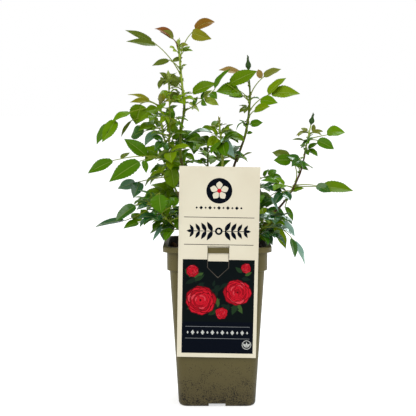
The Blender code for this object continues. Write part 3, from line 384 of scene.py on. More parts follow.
def smoothed(points):
    """A Catmull-Rom curve through the points, as close points."""
    points = [Vector(point) for point in points]
    ends = [2 * points[0] - points[1], *points, 2 * points[-1] - points[-2]]
    fine = []
    for a, b, c, d in zip(ends, ends[1:], ends[2:], ends[3:]):
        square, cube = 2 * a - 5 * b + 4 * c - d, 3 * b - a - 3 * c + d
        for t in (step / FINE_STEPS for step in range(FINE_STEPS)):
            fine.append((2 * b + (c - a) * t + square * t**2 + cube * t**3) / 2)
    return [*fine, points[-1]]


def lengths(points):
    """How far along a path each of its points lies."""
    return list(accumulate(((b - a).length for a, b in zip(points, points[1:])), initial=0.0))


def point_at(points, run, distance):
    """The place and the direction of a path at a distance along it."""
    for i in range(1, len(points)):
        if run[i] >= distance or i == len(points) - 1:
            part = (distance - run[i - 1]) / max(run[i] - run[i - 1], 1e-6)
            return points[i - 1].lerp(points[i], part), (points[i] - points[i - 1]).normalized()


def way_at(points, i):
    """The direction of a path at its point i."""
    return (points[min(i + 1, len(points) - 1)] - points[max(i - 1, 0)]).normalized()


def ring_quads(start, count):
    """The faces between a ring of count corners, numbered from start, and the next ring."""
    pairs = [(start + k, start + (k + 1) % count) for k in range(count)]
    return [(a, b, b + count, a + count) for a, b in pairs]


# Flat outlines, as pairs of places across and up.
def rectangle(left, foot, right, top):
    return [(left, foot), (right, foot), (right, top), (left, top)]


def disc(x, y, radius, sides=32):
    angles = [tau * k / sides for k in range(sides)]
    return [(x + radius * cos(angle), y + radius * sin(angle)) for angle in angles]


# --- the growing rule ----------------------------------------------------------------------------
# Trees are for tests of clearance.
def tube_tree(points, radii, sides=6):
    corners = []
    for i, (point, radius) in enumerate(zip(points, radii)):
        corners += [point + spoke * radius for spoke in spokes(way_at(points, i), sides)]
    faces = [face for i in range(len(points) - 1) for face in ring_quads(i * sides, sides)]
    return BVHTree.FromPolygons(corners, faces)


def box_tree(low, high):
    faces = [(0, 1, 3, 2), (4, 6, 7, 5), (0, 4, 5, 1), (2, 3, 7, 6), (0, 2, 6, 4), (1, 5, 7, 3)]
    return BVHTree.FromPolygons(list(product(*zip(low, high))), faces)


TRUNK_RINGS = [(Vector((x, y, SOIL + height)), radius) for x, y, height, radius in TRUNK]


def trunk_clearance(point):
    """How far a point lies outside the trunk."""
    found = []
    for (low, low_radius), (high, high_radius) in zip(TRUNK_RINGS, TRUNK_RINGS[1:]):
        along = high - low
        share = min(max((point - low).dot(along) / along.length_squared, 0), 1)
        radius = between(low_radius, high_radius, share)
        found.append((point - low - along * share).length - radius)
    return min(found)


def cane_start(points, run):
    """The distance along a path where a cane's flat end comes clear of the trunk."""
    distance = 0.0
    while True:
        place, along = point_at(points, run, distance)
        if min(trunk_clearance(place + spoke) for spoke in spokes(along, 8, CANE_ROOT)) > GAP:
            return distance
        distance += CANE_STEP


# A shoot's path and how far along it each point, the cane's foot and the leafy stem's foot lie.
Line = namedtuple("Line", "points run start joint")


def line_of(shoot):
    points = smoothed(shoot.path)
    run = lengths(points)
    return Line(points, run, cane_start(points, run), run[-1] * shoot.leafy)


LINES = {name: line_of(shoot) for name, shoot in SHOOTS.items()}


def stretch(line, start, end, spacing=CURVE_STEP):
    """The part of a line from start to end, as (place, share) at even distances."""
    count = max(2, ceil((end - start) / spacing))
    shares = [i / count for i in range(count + 1)]
    return [(point_at(line.points, line.run, between(start, end, share))[0], share) for share in shares]


def leaf_foot(line, at):
    """How far along a line the foot of a leaf lies."""
    return line.joint + LEAF_INSET + (line.run[-1] - line.joint - 2 * LEAF_INSET) * at


def limb_trees(shoot, line):
    """A shoot's cane, clear of the trunk, and the stem that carries on from its tip."""
    cane = stretch(line, line.start, line.joint - GAP / 2)
    stem = stretch(line, line.joint + GAP / 2, line.run[-1])
    cane_radii = [between(CANE_ROOT, STEM_ROOT, share) for _, share in cane]
    radii = [between(STEM_ROOT, STEM_TIP, share) for _, share in stem]
    places = [place for place, _ in stem]
    if shoot.bud:
        end, along = places[-1], (places[-1] - places[-2]).normalized()
        places[-1:] = [end + along * height for height, _ in BUD]
        radii[-1:] = [radius for _, radius in BUD]
    return tube_tree([place for place, _ in cane], cane_radii), tube_tree(places, radii)


# --- leaves --------------------------------------------------------------------------------------
# A leaflet's foot, the way it points, the side that faces up, its length, width and arch in degrees.
Leaflet = namedtuple("Leaflet", "foot forward normal length width arch")
PAIR_HANDS = {"B": (1, -1), "U": (1,), "D": (-1,)}


def outline(along):
    """Half the width of a leaflet, as a share of its widest."""
    return max(sin(pi * min(along, 1) ** 0.82), 0) ** 0.8


def blade_point(leaflet, along, across):
    """A place on a leaflet. along runs from its foot, 0, to its tip, 1, and across from -1 to 1."""
    arch = radians(max(leaflet.arch, 1))
    lean = arch * (0.5 - along)
    forth = (sin(arch / 2) - sin(lean)) / arch
    rise = (cos(lean) - cos(arch / 2)) / arch
    side = leaflet.forward.cross(leaflet.normal)
    half = leaflet.width / 2 * outline(along)
    place = leaflet.foot + (leaflet.forward * forth + leaflet.normal * rise) * leaflet.length
    return place + side * half * across + leaflet.normal * half * FOLD * abs(across)


ROUND_LEAFLET = ((1, 3), (3, 2), (2, 4), (4, 1))  # neighbours in a ring
LEAFLET_FACES = [
    *((0, a, b) for a, b in ROUND_LEAFLET),
    *((a, a + 4, b + 4, b) for a, b in ROUND_LEAFLET),
    *((a + 4, a + 8, b + 8, b + 4) for a, b in ROUND_LEAFLET),
    *((13, b + 8, a + 8) for a, b in ROUND_LEAFLET),
]


def leaflet_tree(leaflet):
    """A leaflet with its room, its corners in order: foot, rings of four, tip."""
    corners = [leaflet.foot + leaflet.forward * CLEAR * 2]
    for along in RING_PLACES:
        middle = blade_point(leaflet, along, 0)
        for edge in (blade_point(leaflet, along, 1), blade_point(leaflet, along, -1)):
            corners.append(edge + (edge - middle).normalized() * CLEAR)
        corners.append(middle + leaflet.normal * CLEAR)
        corners.append(middle - leaflet.normal * (KEEL + CLEAR))
    corners.append(blade_point(leaflet, 1, 0) + leaflet.forward * CLEAR)
    return BVHTree.FromPolygons(corners, LEAFLET_FACES)


def stalk_tree(stalk, start):
    return tube_tree([stalk[0].lerp(stalk[1], start), *stalk[1:]], [TWIG + CLEAR] * len(stalk), 3)


def blade_axes(along, show):
    """The upper side and the normal of blades on a stalk that points along."""
    side = along.cross(UP)
    side = side.normalized() if side.length > 0.05 else Vector((1, 0, 0))
    normal = side.cross(along).normalized()
    turns = [Matrix.Rotation(radians(roll), 3, along) for roll in (abs(show), -abs(show))]
    toward = FRONT if show > 0 else -FRONT
    turn = max(turns, key=lambda each: (each @ normal).dot(toward))
    side, normal = turn @ side, turn @ normal
    return (side if side.z > 0 else -side), normal


def grow_leaf(foot, leaf, turn, chance):
    """A compound leaf: a bending stalk's points, and its leaflets, the end one and then pairs."""
    heading = leaf.heading + turn
    bend = max(min((leaf.rise - leaf.droop) * BEND_SHARE, BEND_DOWN), -BEND_UP)
    step_length = leaf.reach / (1 + 2 * cos(radians(bend)))
    stalk = [foot]
    for step in (1, 0, -1):
        stalk.append(stalk[-1] + direction(heading, leaf.rise + bend * step) * step_length)
    along = direction(heading + leaf.swing, leaf.droop)
    side, normal = blade_axes(along, leaf.show)
    end = stalk[-1] - (stalk[-1] - stalk[-2]).normalized() * END_LAP
    leaflets = [Leaflet(end, along, normal, leaf.size, leaf.size * leaf.broad, leaf.arch)]
    run = lengths(stalk)
    for pair, sides in enumerate(leaf.pairs):
        place, along = point_at(stalk, run, run[-1] * PAIR_PLACES[pair])
        side, normal = blade_axes(along, leaf.show)
        for hand in PAIR_HANDS[sides]:
            stray = chance.uniform(-SPREAD_DEGREES, SPREAD_DEGREES)
            spread = radians(leaf.spread + leaf.fan * pair + stray)
            size = leaf.size * leaf.pair * PAIR_STEP**pair * chance.uniform(*SIZE_SPREAD)
            forward = along * cos(spread) + side * hand * sin(spread)
            forward = (forward + normal * chance.uniform(*DIP)).normalized()
            roll = radians(chance.uniform(-ROLL_DEGREES, ROLL_DEGREES))
            face = rolled(squared(normal, forward), forward, roll)
            leaflets.append(Leaflet(place, forward, face, size, size * leaf.broad, leaf.arch))
    return stalk, leaflets


def touches(tree, others):
    return any(tree.overlap(other) for other in others)


def fitted_leaf(foot, leaf, chance, others, own):
    """The leaf, turned to where most of its leaflets have room, without those that have none."""
    state = chance.getstate()
    best, best_cost = None, inf
    for turn in TURNS:
        chance.setstate(state)
        stalk, leaflets = grow_leaf(foot, leaf, turn, chance)
        if touches(stalk_tree(stalk, STALK_START), others):
            continue
        kept = [each for each in leaflets if not touches(leaflet_tree(each), others + own)]
        cost = abs(turn) / DEAREST_TURN + (len(leaflets) - len(kept))
        if kept and cost < best_cost:
            best, best_cost = (stalk, kept), cost
        if best_cost < 1:
            break
    return best


def fill_leaves(fill, chance):
    """Leaves that stand round the stem, each a fixed angle on from the last."""
    for i in range(fill.count):
        share = i / fill.count
        scale, lift = FIRST_SCALE - TIP_LOSS * share, TIP_LIFT * share
        yield Leaf(
            "",
            between(fill.first, LAST_LEAF, share),
            fill.heading + SPIRAL * i + chance.uniform(-HEADING_STRAY, HEADING_STRAY),
            fill.rise + lift + chance.uniform(-RISE_STRAY, RISE_STRAY),
            fill.reach * scale * chance.uniform(*SCALE_RANGE),
            fill.droop + lift + chance.uniform(-DROOP_STRAY, DROOP_STRAY),
            fill.size * scale * chance.uniform(*SCALE_RANGE),
            fill.pairs,
            chance.uniform(*SHOW_RANGE),
            chance.uniform(*ARCH_RANGE),
        )


def surroundings():
    """What leaves keep clear of besides the canes: the trunk, the pot with its soil, and the label."""
    side = LABEL_WIDTH / 2 + LABEL_ROOM
    low = (LABEL_SHIFT - side, -RIM - LABEL_VIEW, POT_HEIGHT)
    return [
        tube_tree(*zip(*TRUNK_RINGS)),
        box_tree((-RIM, -RIM, UNDER_LIP), (RIM, RIM, POT_HEIGHT)),
        box_tree((-COLLAR, -COLLAR, POT_HEIGHT / 2), (COLLAR, COLLAR, UNDER_LIP)),
        box_tree(low, (LABEL_SHIFT + side, -RIM, LABEL_TOP + LABEL_ROOM)),
    ]


# A leaf as it grew: its row, its stalk's points, its leaflets, and whether only this script has it.
Grown = namedtuple("Grown", "leaf stalk leaflets later")


def grow():
    """Every shoot's leaves, by name, each where the solids have it, and then the ones only made here."""
    fixed, stems = surroundings(), {}
    for name, shoot in SHOOTS.items():
        cane, stems[name] = limb_trees(shoot, LINES[name])
        fixed.append(cane)
    grown, rooms = {name: [] for name in SHOOTS}, {name: [] for name in SHOOTS}
    first = {name: (LEAVES.get(name, ()), shoot.fill) for name, shoot in SHOOTS.items()}
    for later, tables in enumerate((first, MORE)):
        for order, (name, (rows, fill)) in enumerate(tables.items()):
            chance = random.Random(SEED * 100 * (later + 1) + order)
            line, own, made = LINES[name], rooms[name], []
            others = fixed + [tree for key, tree in stems.items() if key != name]
            others += [tree for key, trees in rooms.items() if key != name for tree in trees]
            for leaf in (*(Leaf(*row) for row in rows), *fill_leaves(fill, chance)):
                foot, _ = point_at(line.points, line.run, leaf_foot(line, leaf.at))
                fitted = fitted_leaf(foot, leaf, chance, others, own)
                if fitted:
                    made.append(Grown(leaf, *fitted, later))
                    own += [leaflet_tree(leaflet) for leaflet in fitted[1]]
            own += [stalk_tree(each.stalk, 0.0) for each in made]
            grown[name] += made
    return grown


# --- materials -----------------------------------------------------------------------------------
SPECULAR, LEAF_SPECULAR = 0.10, 0.04
LIT = 1.5  # how much brighter than its base colour a thing that faces the light looks
BLADE_LIT = 1.32  # the same for a blade, which seldom faces it squarely
GLOSS_SPREAD = 0.22  # of a roughness round its value, as a share of it

# Upper sides of blades, by the letter that deals them out: screen colour, roughness, specular level.
Tint = namedtuple("Tint", "colour roughness specular", defaults=(0.42, LEAF_SPECULAR))
TINTS = {
    "a": Tint((134, 96, 26)),  # young, bronze
    "b": Tint((132, 80, 38)),  # young, red brown
    "p": Tint((150, 124, 66)),  # young, pale brown
    "o": Tint((116, 122, 44)),  # young, olive
    "k": Tint((92, 108, 30)),  # dark olive
    "s": Tint((176, 214, 196)),  # a painted reflection: a pale sky sheen painted into the base colour
    "y": Tint((130, 130, 26)),  # yellow olive
    "w": Tint((156, 176, 60)),  # pale lime
    "l": Tint((114, 143, 6)),  # lime
    "f": Tint((98, 138, 4), 0.36),  # fresh
    "n": Tint((94, 127, 6), 0.36),  # mid green, yellowish
    "m": Tint((74, 117, 4), 0.34, 0.06),  # mid green
    "d": Tint((48, 96, 8), 0.28, 0.25),  # deep green
    "c": Tint((32, 84, 34), 0.20, 0.8),  # deep and bluish
    "g": Tint((108, 152, 130), 0.20, 0.9),  # deep green and glossy, its base colour paled grey-blue as a painted sheen of the sky
    "h": Tint((78, 118, 84), 0.20, 0.5),  # grey green
}
YOUNG = "abo"  # the tints whose leaves have young stipules
PALE_UNDER = (0.26, 0.31, 0.17)
PALE_RIB = (0.34, 0.42, 0.10)

# Screen colour, roughness, relief in millimetres, grain size in millimetres.
FINISHES = {
    "stalk_green": ((140, 156, 46), 0.45, 0.05, 1.2),
    "stalk_red": ((120, 76, 44), 0.45, 0.05, 1.2),
    "bark_green": ((104, 122, 26), 0.5, 0.10, 1.5),
    "bark_lime": ((166, 186, 76), 0.45, 0.08, 1.5),
    "bark_olive": ((92, 88, 40), 0.55, 0.14, 1.5),
    "bark_red": ((82, 62, 42), 0.5, 0.12, 1.5),
    "bark_brown": ((84, 66, 46), 0.7, 0.25, 1.8),
    "prickle": ((132, 66, 46), 0.4, 0.05, 1.0),
    "bud_green": ((62, 96, 34), 0.45, 0.08, 1.0),
    "sepal": ((56, 84, 36), 0.5, 0.08, 1.0),
    # the pot's inner wall colour is painted shade: darkened to stand in for the shade that falls inside the
    # pot
    "pot_inside": ((40, 37, 30), 0.6, 0.05, 0.9),
    "crumb_dark": ((24, 18, 13), 0.95, 0.3, 1.0),
    "crumb_brown": ((84, 60, 40), 0.9, 0.3, 1.0),
    "crumb_pale": ((132, 108, 80), 0.85, 0.3, 1.0),
}
# The rest of a finish that all inks share: roughness, relief, grain size and specular level.
INK = (0.42, 0.01, 0.6, 0.03)
INKS = {
    "ink_navy": (6, 12, 24),
    "ink_green": (10, 18, 20),
    "ink_leaf_dim": (22, 38, 30),
    "ink_leaf": (34, 58, 34),
    "ink_leaf_pale": (62, 90, 44),
    "ink_red": (212, 26, 44),
    "ink_red_dim": (172, 16, 32),
    "ink_red_deep": (104, 8, 20),
    "ink_red_pale": (226, 66, 78),
    "ink_grey": (136, 140, 142),
    "ink_pale": (206, 208, 204),
    "ink_cream": (240, 232, 210),
    # painted shadow: a dark line printed along the tongue's cut, standing in for the shade in its gap
    "ink_cut": (84, 78, 70),
}
FINISHES.update({name: (colour, *INK) for name, colour in INKS.items()})
# Two colours in patches, with relief between them: the plain colour, roughness, the patches' size,
# detail and stretch, where they start and end in the noise, the low and the high colour, relief.
PATCHED = {
    "soil_dark": ((40, 30, 22), 0.95, (2.6, 5.0), 0.42, 0.68, (14, 12, 10), (58, 44, 31), 1.2),
    "bark_trunk": (
        (86, 66, 46), 0.85, (2.2, 5.0, (1.0, 1.0, 0.35)), 0.38, 0.66, (56, 42, 30), (122, 100, 76), 0.9,
    ),
}


def linear(red, green, blue, lit=LIT):
    """A base colour from the screen values, 0 to 255, that it has in this studio's light."""
    return tuple(
        (share / 12.92 if share <= 0.04045 else ((share + 0.055) / 1.055) ** 2.4) / lit
        for share in (red / 255, green / 255, blue / 255)
    )


def mixed(one, other, share):
    return tuple(between(a, b, share) for a, b in zip(one, other))


def set_inputs(node, values):
    """Gives a node's inputs, by name or number, values or links from other nodes' sockets."""
    for name, value in values.items():
        socket = node.inputs[name]
        if isinstance(value, bpy.types.NodeSocket):
            node.id_data.links.new(value, socket)
        else:
            socket.default_value = (*value, 1.0) if socket.type == "RGBA" else value


def new_node(tree, kind, values=(), **settings):
    node = tree.nodes.new("ShaderNode" + kind)
    for setting, value in settings.items():
        setattr(node, setting, value)
    set_inputs(node, dict(values))
    return node


def new_material(name, colour, roughness, specular=SPECULAR):
    """A new material's node tree and shader."""
    made = bpy.data.materials.new(name)
    made.use_nodes = True
    made.diffuse_color = (*colour, 1.0)
    shader = made.node_tree.nodes["Principled BSDF"]
    set_inputs(shader, {"Base Color": colour, "Roughness": roughness, "Specular IOR Level": specular})
    return made.node_tree, shader


def noise_of(tree, size, detail=3.0, stretch_by=None):
    """A noise whose patches are about size millimetres across, in the object's own space."""
    place = new_node(tree, "TexCoord").outputs["Object"]
    if stretch_by:
        place = new_node(tree, "Mapping", {"Vector": place, "Scale": stretch_by}).outputs["Vector"]
    values = {"Vector": place, "Scale": 1 / (size * MM), "Detail": detail}
    return new_node(tree, "TexNoise", values).outputs["Fac"]


def ranged(tree, source, low, high, to_low=0.0, to_high=1.0):
    values = {"Value": source, "From Min": low, "From Max": high, "To Min": to_low, "To Max": to_high}
    return new_node(tree, "MapRange", values).outputs["Result"]


def blended(tree, factor, one, other):
    """A mix of two colours. Sockets 6 and 7 are the Mix node's colours, and 2 its colour result."""
    return new_node(tree, "Mix", {"Factor": factor, 6: one, 7: other}, data_type="RGBA").outputs[2]


def add_relief(shader, source, relief, strength=0.6):
    values = {"Strength": strength, "Distance": relief * MM, "Height": source}
    set_inputs(shader, {"Normal": new_node(shader.id_data, "Bump", values).outputs["Normal"]})


def add_grain(tree, shader, size, low, high, relief, strength=0.6):
    """Fine noise in a surface's gloss, between two roughnesses, and in its relief."""
    fine = noise_of(tree, size)
    set_inputs(shader, {"Roughness": ranged(tree, fine, 0.3, 0.7, low, high)})
    add_relief(shader, fine, relief, strength)


def plain_finish(name, colour, roughness, relief, grain, specular=SPECULAR):
    tree, shader = new_material(name, colour, roughness, specular)
    spread = roughness * GLOSS_SPREAD
    add_grain(tree, shader, grain, roughness - spread, roughness + spread, relief)


def leaf_finish(name):
    """The upper side, the paler under side or the midrib of blades of one tint."""
    _, letter, side = name.split("_")
    tint = TINTS[letter]
    colour = linear(*tint.colour, BLADE_LIT)
    if side == "under":
        plain_finish(name, mixed(colour, PALE_UNDER, 0.26), 0.55, 0.06, 1.4)
    elif side == "rib":
        plain_finish(name, mixed(colour, PALE_RIB, 0.30), tint.roughness + 0.06, 0.04, 1.2)
    else:
        plain_finish(name, colour, tint.roughness, 0.09, 1.1, tint.specular)


def patched_finish(name, colour, roughness, patches, start, end, low, high, relief):
    tree, shader = new_material(name, linear(*colour), roughness)
    spots = noise_of(tree, *patches)
    share = ranged(tree, spots, start, end)
    set_inputs(shader, {"Base Color": blended(tree, share, linear(*low), linear(*high))})
    add_relief(shader, spots, relief, 1.0)


def pot_finish(name):
    """Taupe plastic, faintly clouded, a little darker towards the foot, and specked there with splashed
    soil.
    """
    clean, pale, low_tone, dirt = (98, 89, 51), (110, 101, 63), (82, 73, 46), (26, 21, 13)
    tree, shader = new_material(name, linear(*clean), 0.42, 0.18)
    clouds = ranged(tree, noise_of(tree, 55.0, 4.0), 0.35, 0.75, 0.0, 0.55)
    tone = blended(tree, clouds, linear(*clean), linear(*pale))
    place = new_node(tree, "TexCoord").outputs["Object"]
    height = new_node(tree, "SeparateXYZ", {"Vector": place}).outputs["Z"]
    tone = blended(tree, ranged(tree, height, 0.0, 0.09, 0.9, 0.0), tone, linear(*low_tone))
    splashed = ranged(tree, height, 0.0, 0.07, 0.17, -0.03)
    for size, factor in ((1.3, 1.0), (14.0, 0.35)):
        values = {0: noise_of(tree, size, 2.0), 1: factor, 2: splashed}
        splashed = new_node(tree, "Math", values, operation="MULTIPLY_ADD").outputs["Value"]
    share = ranged(tree, splashed, 0.84, 0.87)
    set_inputs(shader, {"Base Color": blended(tree, share, tone, linear(*dirt))})
    add_grain(tree, shader, 0.9, 0.34, 0.5, 0.05, 0.4)


def card_finish(name):
    tree, shader = new_material(name, linear(238, 231, 209), 0.4)
    share = ranged(tree, noise_of(tree, 60.0), 0.35, 0.7)
    tone = blended(tree, share, linear(243, 236, 213), linear(237, 228, 204))
    set_inputs(shader, {"Base Color": tone})
    add_grain(tree, shader, 1.1, 0.34, 0.46, 0.02, 0.3)


def finish_named(name):
    """The named material, made once."""
    if name not in bpy.data.materials:
        if name in FINISHES:
            colour, *rest = FINISHES[name]
            plain_finish(name, linear(*colour), *rest)
        elif name in PATCHED:
            patched_finish(name, *PATCHED[name])
        else:
            {"pot_taupe": pot_finish, "card_cream": card_finish}.get(name, leaf_finish)(name)
    return bpy.data.materials[name]


# --- gathering meshes ----------------------------------------------------------------------------
def new_object(name, data):
    made = bpy.data.objects.new(name, data)
    bpy.context.scene.collection.objects.link(made)
    return made


def smooth(mesh, angle):
    """Shades a mesh smooth but for edges sharper than the angle."""
    mesh.polygons.foreach_set("use_smooth", np.ones(len(mesh.polygons), bool))
    mesh.set_sharp_from_angle(angle=radians(angle))


class Pile:
    """Closed shells gathered for one mesh: points in millimetres, faces, and a material for each."""

    def __init__(self):
        self.points, self.faces, self.kinds, self.count = [], [], [], 0

    def shell(self, points, groups):
        """Adds points and groups of faces, each an array of faces and the name of its material."""
        for faces, kind in groups:
            if len(faces):
                self.faces.append(np.asarray(faces, np.int32) + self.count)
                self.kinds += [kind] * len(faces)
        self.points.append(np.asarray(points, float))
        self.count += len(points)

    def mesh(self, name):
        mesh = bpy.data.meshes.new(name)
        points = np.concatenate(self.points) * MM
        corners = np.concatenate([faces.ravel() for faces in self.faces])
        sizes = np.concatenate([np.full(len(faces), faces.shape[1]) for faces in self.faces])
        mesh.vertices.add(len(points))
        mesh.vertices.foreach_set("co", points.astype(np.float32).ravel())
        mesh.loops.add(len(corners))
        mesh.loops.foreach_set("vertex_index", corners)
        mesh.polygons.add(len(sizes))
        mesh.polygons.foreach_set("loop_start", np.cumsum(sizes) - sizes)
        mesh.update(calc_edges=True)
        return mesh

    def make(self, name, slot, *nodes, angle=55):
        """The piece of this name, in the place of the nodes."""
        mesh = self.mesh(name)
        names = sorted(set(self.kinds))
        for each in names:
            mesh.materials.append(finish_named(each))
        mesh.polygons.foreach_set("material_index", [names.index(kind) for kind in self.kinds])
        smooth(mesh, angle)
        made = new_object(name, mesh)
        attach(made, "root")
        if nodes:
            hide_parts(*nodes)
        return made


def tube(pile, points, radii, sides, kind, relief=0.0, grain=0.5):
    """A closed tube round a path. kind is one material's name, or a list with one for each stretch."""
    points = [Vector(point) for point in points]
    side = (points[1] - points[0]).orthogonal().normalized()
    corners = []
    for i, (point, radius) in enumerate(zip(points, radii)):
        ahead = way_at(points, i)
        side = squared(side, ahead)
        other = ahead.cross(side)
        for angle in (tau * k / sides for k in range(sides)):
            out = side * cos(angle) + other * sin(angle)
            swell = 1 + relief * noise.noise((point + out * radius) * grain) if relief else 1
            corners.append(point + out * radius * swell)
    start, last = len(corners), len(corners) - sides
    kinds = [kind] * (len(points) - 1) if isinstance(kind, str) else kind
    groups = {}
    for i, each in enumerate(kinds):
        groups.setdefault(each, []).extend(ring_quads(i * sides, sides))
    foot = [(start, (k + 1) % sides, k) for k in range(sides)]
    tip = [(start + 1, last + k, last + (k + 1) % sides) for k in range(sides)]
    parts = [(quads, each) for each, quads in groups.items()]
    pile.shell([*corners, points[0], points[-1]], [*parts, (foot, kinds[0]), (tip, kinds[-1])])


# --- blades --------------------------------------------------------------------------------------
ROWS_BY_LENGTH = ((24, 24), (17, 18), (0, 12))  # a blade over the first number has so many rows
VEIN_ROWS = 4  # from one side vein of a blade to the next
TOP_PLACES = (-1, -0.78, -0.53, -0.28, -0.055, 0, 0.055, 0.28, 0.53, 0.78, 1)  # columns of a blade
UNDER_PLACES = (-1, -0.53, 0, 0.53, 1)
RIB_COLUMNS = (4, 5)  # the strips between the columns that hold the midrib
PETIOLULE = 0.05  # of a leaflet's length, which is its own short stalk
SWEEP = 0.099  # how far a blade's side veins run forward, for its length
TOOTH = 0.075  # how far its teeth stand out, for its half width
TOOTH_LEAN = 0.012  # how far they point forward, for its length
QUILT = 0.032  # rise of a blade between its side veins, for its half width
GROOVE = 0.03  # depth of its midrib
BLADE_THICK, RIB_THICK = 0.3, 0.35
RUFFLE_TURNS, RUFFLE_SHIFT = 11.0, 1.3  # radians of ruffle from foot to tip, and between its sides
# What makes one blade unlike the next: its twist, sideways sway, ruffle and where the ruffle starts.
Wave = namedtuple("Wave", "twist sway ruffle phase")
TWIST, SWAY, RUFFLE = 0.30, 0.05, 0.10  # the most of each, in radians and shares


def random_wave(chance):
    twist, sway = chance.uniform(-TWIST, TWIST), chance.uniform(-SWAY, SWAY)
    return Wave(twist, sway, chance.uniform(0.3, 1) * RUFFLE, chance.uniform(0, tau))


def fine_outline(along):
    """Half the width of a blade, as a share of its widest: a round foot and a drawn-out tip."""
    round_part = np.clip(np.sin(np.pi * np.clip(along, 0, 1) ** 0.82), 0, 1) ** 0.8
    return round_part * (1 - 0.42 * np.clip((along - 0.68) / 0.32, 0, 1) ** 1.3)


def blade_points(leaflet, rows, places, wave, under):
    """A grid of places on a blade's upper or under side, row by row from its foot to its tip."""
    row = np.arange(rows + 1)[:, None]
    across = np.array(places, float)[None, :]
    beside = np.abs(across)
    along = row / rows + SWEEP * beside * np.sin(np.pi * row / rows)
    edge = (beside == 1) & (row % 2 == 1)
    along = PETIOLULE + (1 - PETIOLULE) * np.clip(along + TOOTH_LEAN * edge, 0, 1)
    arch = radians(max(leaflet.arch, 1))
    lean = arch * (0.5 - along)
    forth = (sin(arch / 2) - np.sin(lean)) / arch * leaflet.length
    rise = (np.cos(lean) - cos(arch / 2)) / arch * leaflet.length
    half = leaflet.width / 2 * fine_outline(along)
    wide = half * across * (1 + TOOTH * edge)
    turn = wave.phase + np.sign(across) * RUFFLE_SHIFT + along * RUFFLE_TURNS
    lift = half * FOLD * beside**1.2 + wave.ruffle * half * beside**2 * np.sin(turn)
    if under:
        lift = lift - BLADE_THICK * (1 - beside**3) - RIB_THICK * (beside == 0) * (1.1 - along)
    else:
        hump = 0.5 - 0.5 * np.cos(tau * row / VEIN_ROWS)
        lift = lift + QUILT * leaflet.width / 2 * hump * beside * (1 - beside) * 4
        lift = lift - GROOVE * half * (beside == 0)
    cos_twist, sin_twist = np.cos(wave.twist * along), np.sin(wave.twist * along)
    wide, lift = wide * cos_twist - lift * sin_twist, wide * sin_twist + lift * cos_twist
    wide = wide + wave.sway * leaflet.length * along**2
    forward, normal = np.array(leaflet.forward), np.array(leaflet.normal)
    side = np.cross(forward, normal)
    place = np.array(leaflet.foot) + forward * forth[..., None] + normal * rise[..., None]
    up = normal * np.cos(lean)[..., None] - forward * np.sin(lean)[..., None]
    return place + side * wide[..., None] + up * lift[..., None]


def grid_quads(grid):
    return np.stack([grid[:-1, :-1], grid[:-1, 1:], grid[1:, 1:], grid[1:, :-1]], axis=-1)


def grid_faces(grid, foot, tip, flip):
    """Faces over a grid of corners that closes to one corner at each end, as quads and triangles."""
    low = np.stack([np.full(grid.shape[1] - 1, foot), grid[0, 1:], grid[0, :-1]], axis=-1)
    high = np.stack([grid[-1, :-1], grid[-1, 1:], np.full(grid.shape[1] - 1, tip)], axis=-1)
    return [each[..., ::-1] if flip else each for each in (grid_quads(grid), low, high)]


def add_blade(pile, leaflet, tint, chance, rows=None):
    """A thin closed blade, serrated, keeled and quilted between its veins."""
    rows = rows or next(rows for length, rows in ROWS_BY_LENGTH if leaflet.length > length)
    wave = random_wave(chance)
    top = blade_points(leaflet, rows, TOP_PLACES, wave, False)
    low = blade_points(leaflet, rows, UNDER_PLACES, wave, True)
    columns = len(TOP_PLACES)
    ends = top[[0, -1], columns // 2]
    points = np.concatenate([top[1:-1].reshape(-1, 3), low[1:-1, 1:-1].reshape(-1, 3), ends])
    upper = np.arange((rows - 1) * columns).reshape(rows - 1, columns)
    inner = np.arange(upper.size, len(points) - 2).reshape(rows - 1, -1)
    lower = np.concatenate([upper[:, :1], inner, upper[:, -1:]], axis=1)
    foot, tip = len(points) - 2, len(points) - 1
    quads, start, end = grid_faces(upper, foot, tip, False)
    rib = np.isin(np.arange(columns - 1), RIB_COLUMNS)
    groups = []
    for mask, side in ((rib, "rib"), (~rib, "upper")):
        kind = f"leaf_{tint}_{side}"
        groups += [(quads[:, mask].reshape(-1, 4), kind), (start[mask], kind), (end[mask], kind)]
    quads, start, end = grid_faces(lower, foot, tip, True)
    groups += [(each, f"leaf_{tint}_under") for each in (quads.reshape(-1, 4), start, end)]
    pile.shell(points, groups)


# --- dressing the plant --------------------------------------------------------------------------
TIP_LEAVES, TIP_BROAD, TIP_ARCH, TIP_ROWS = 5, 0.34, 30, 8
TIP_OPEN, TIP_SIZES, TIP_DEPTHS = (0.12, 0.4), (0.7, 1.1), (2, 8)  # slope, share, distance from the end
ROOT_LAP = 5.0  # how far a cane runs back into the trunk
ROOT_FLARE, ROOT_REACH = 0.6, 9  # how much thicker a cane is at its foot, and for how far
NODE_SWELL, NODE_REACH = 0.32, 3.2  # the same at a leaf's foot
BARK_SIDES, BARK_STEP, BARK_RELIEF, BARK_GRAIN = 12, 3.5, 0.10, 0.35
STALK_SIDES, STALK_FOOT, STALK_TIP = 6, 1.1, 0.6  # and a leaf stalk's radii
STALK_SKIP, STALK_FLARE = 6, 1.5  # smooth points for one ring, and how much thicker the first is
LEAFLET_STALK_SIDES = 5
LEAFLET_STALK = (  # way, more way for the leaflet's length, radius
    (-SUNK, 0.0, 0.5), (0.0, 0.05, 0.42), (0.0, 0.1, 0.3),
)
STIPULE_LENGTH, STIPULE_WIDTH, STIPULE_ARCH, STIPULE_ROWS = 7.5, 2.6, 25, 6
STIPULE_SPREAD, STIPULE_LIFT, STIPULE_SIZES = 0.42, 0.1, (0.8, 1.15)
STIPULE_START = 0.8  # along the stalk
PRICKLE_STEP, PRICKLE_LENGTH, PRICKLES_FROM, PRICKLES_END = 15.0, 3.6, 12, 0.86
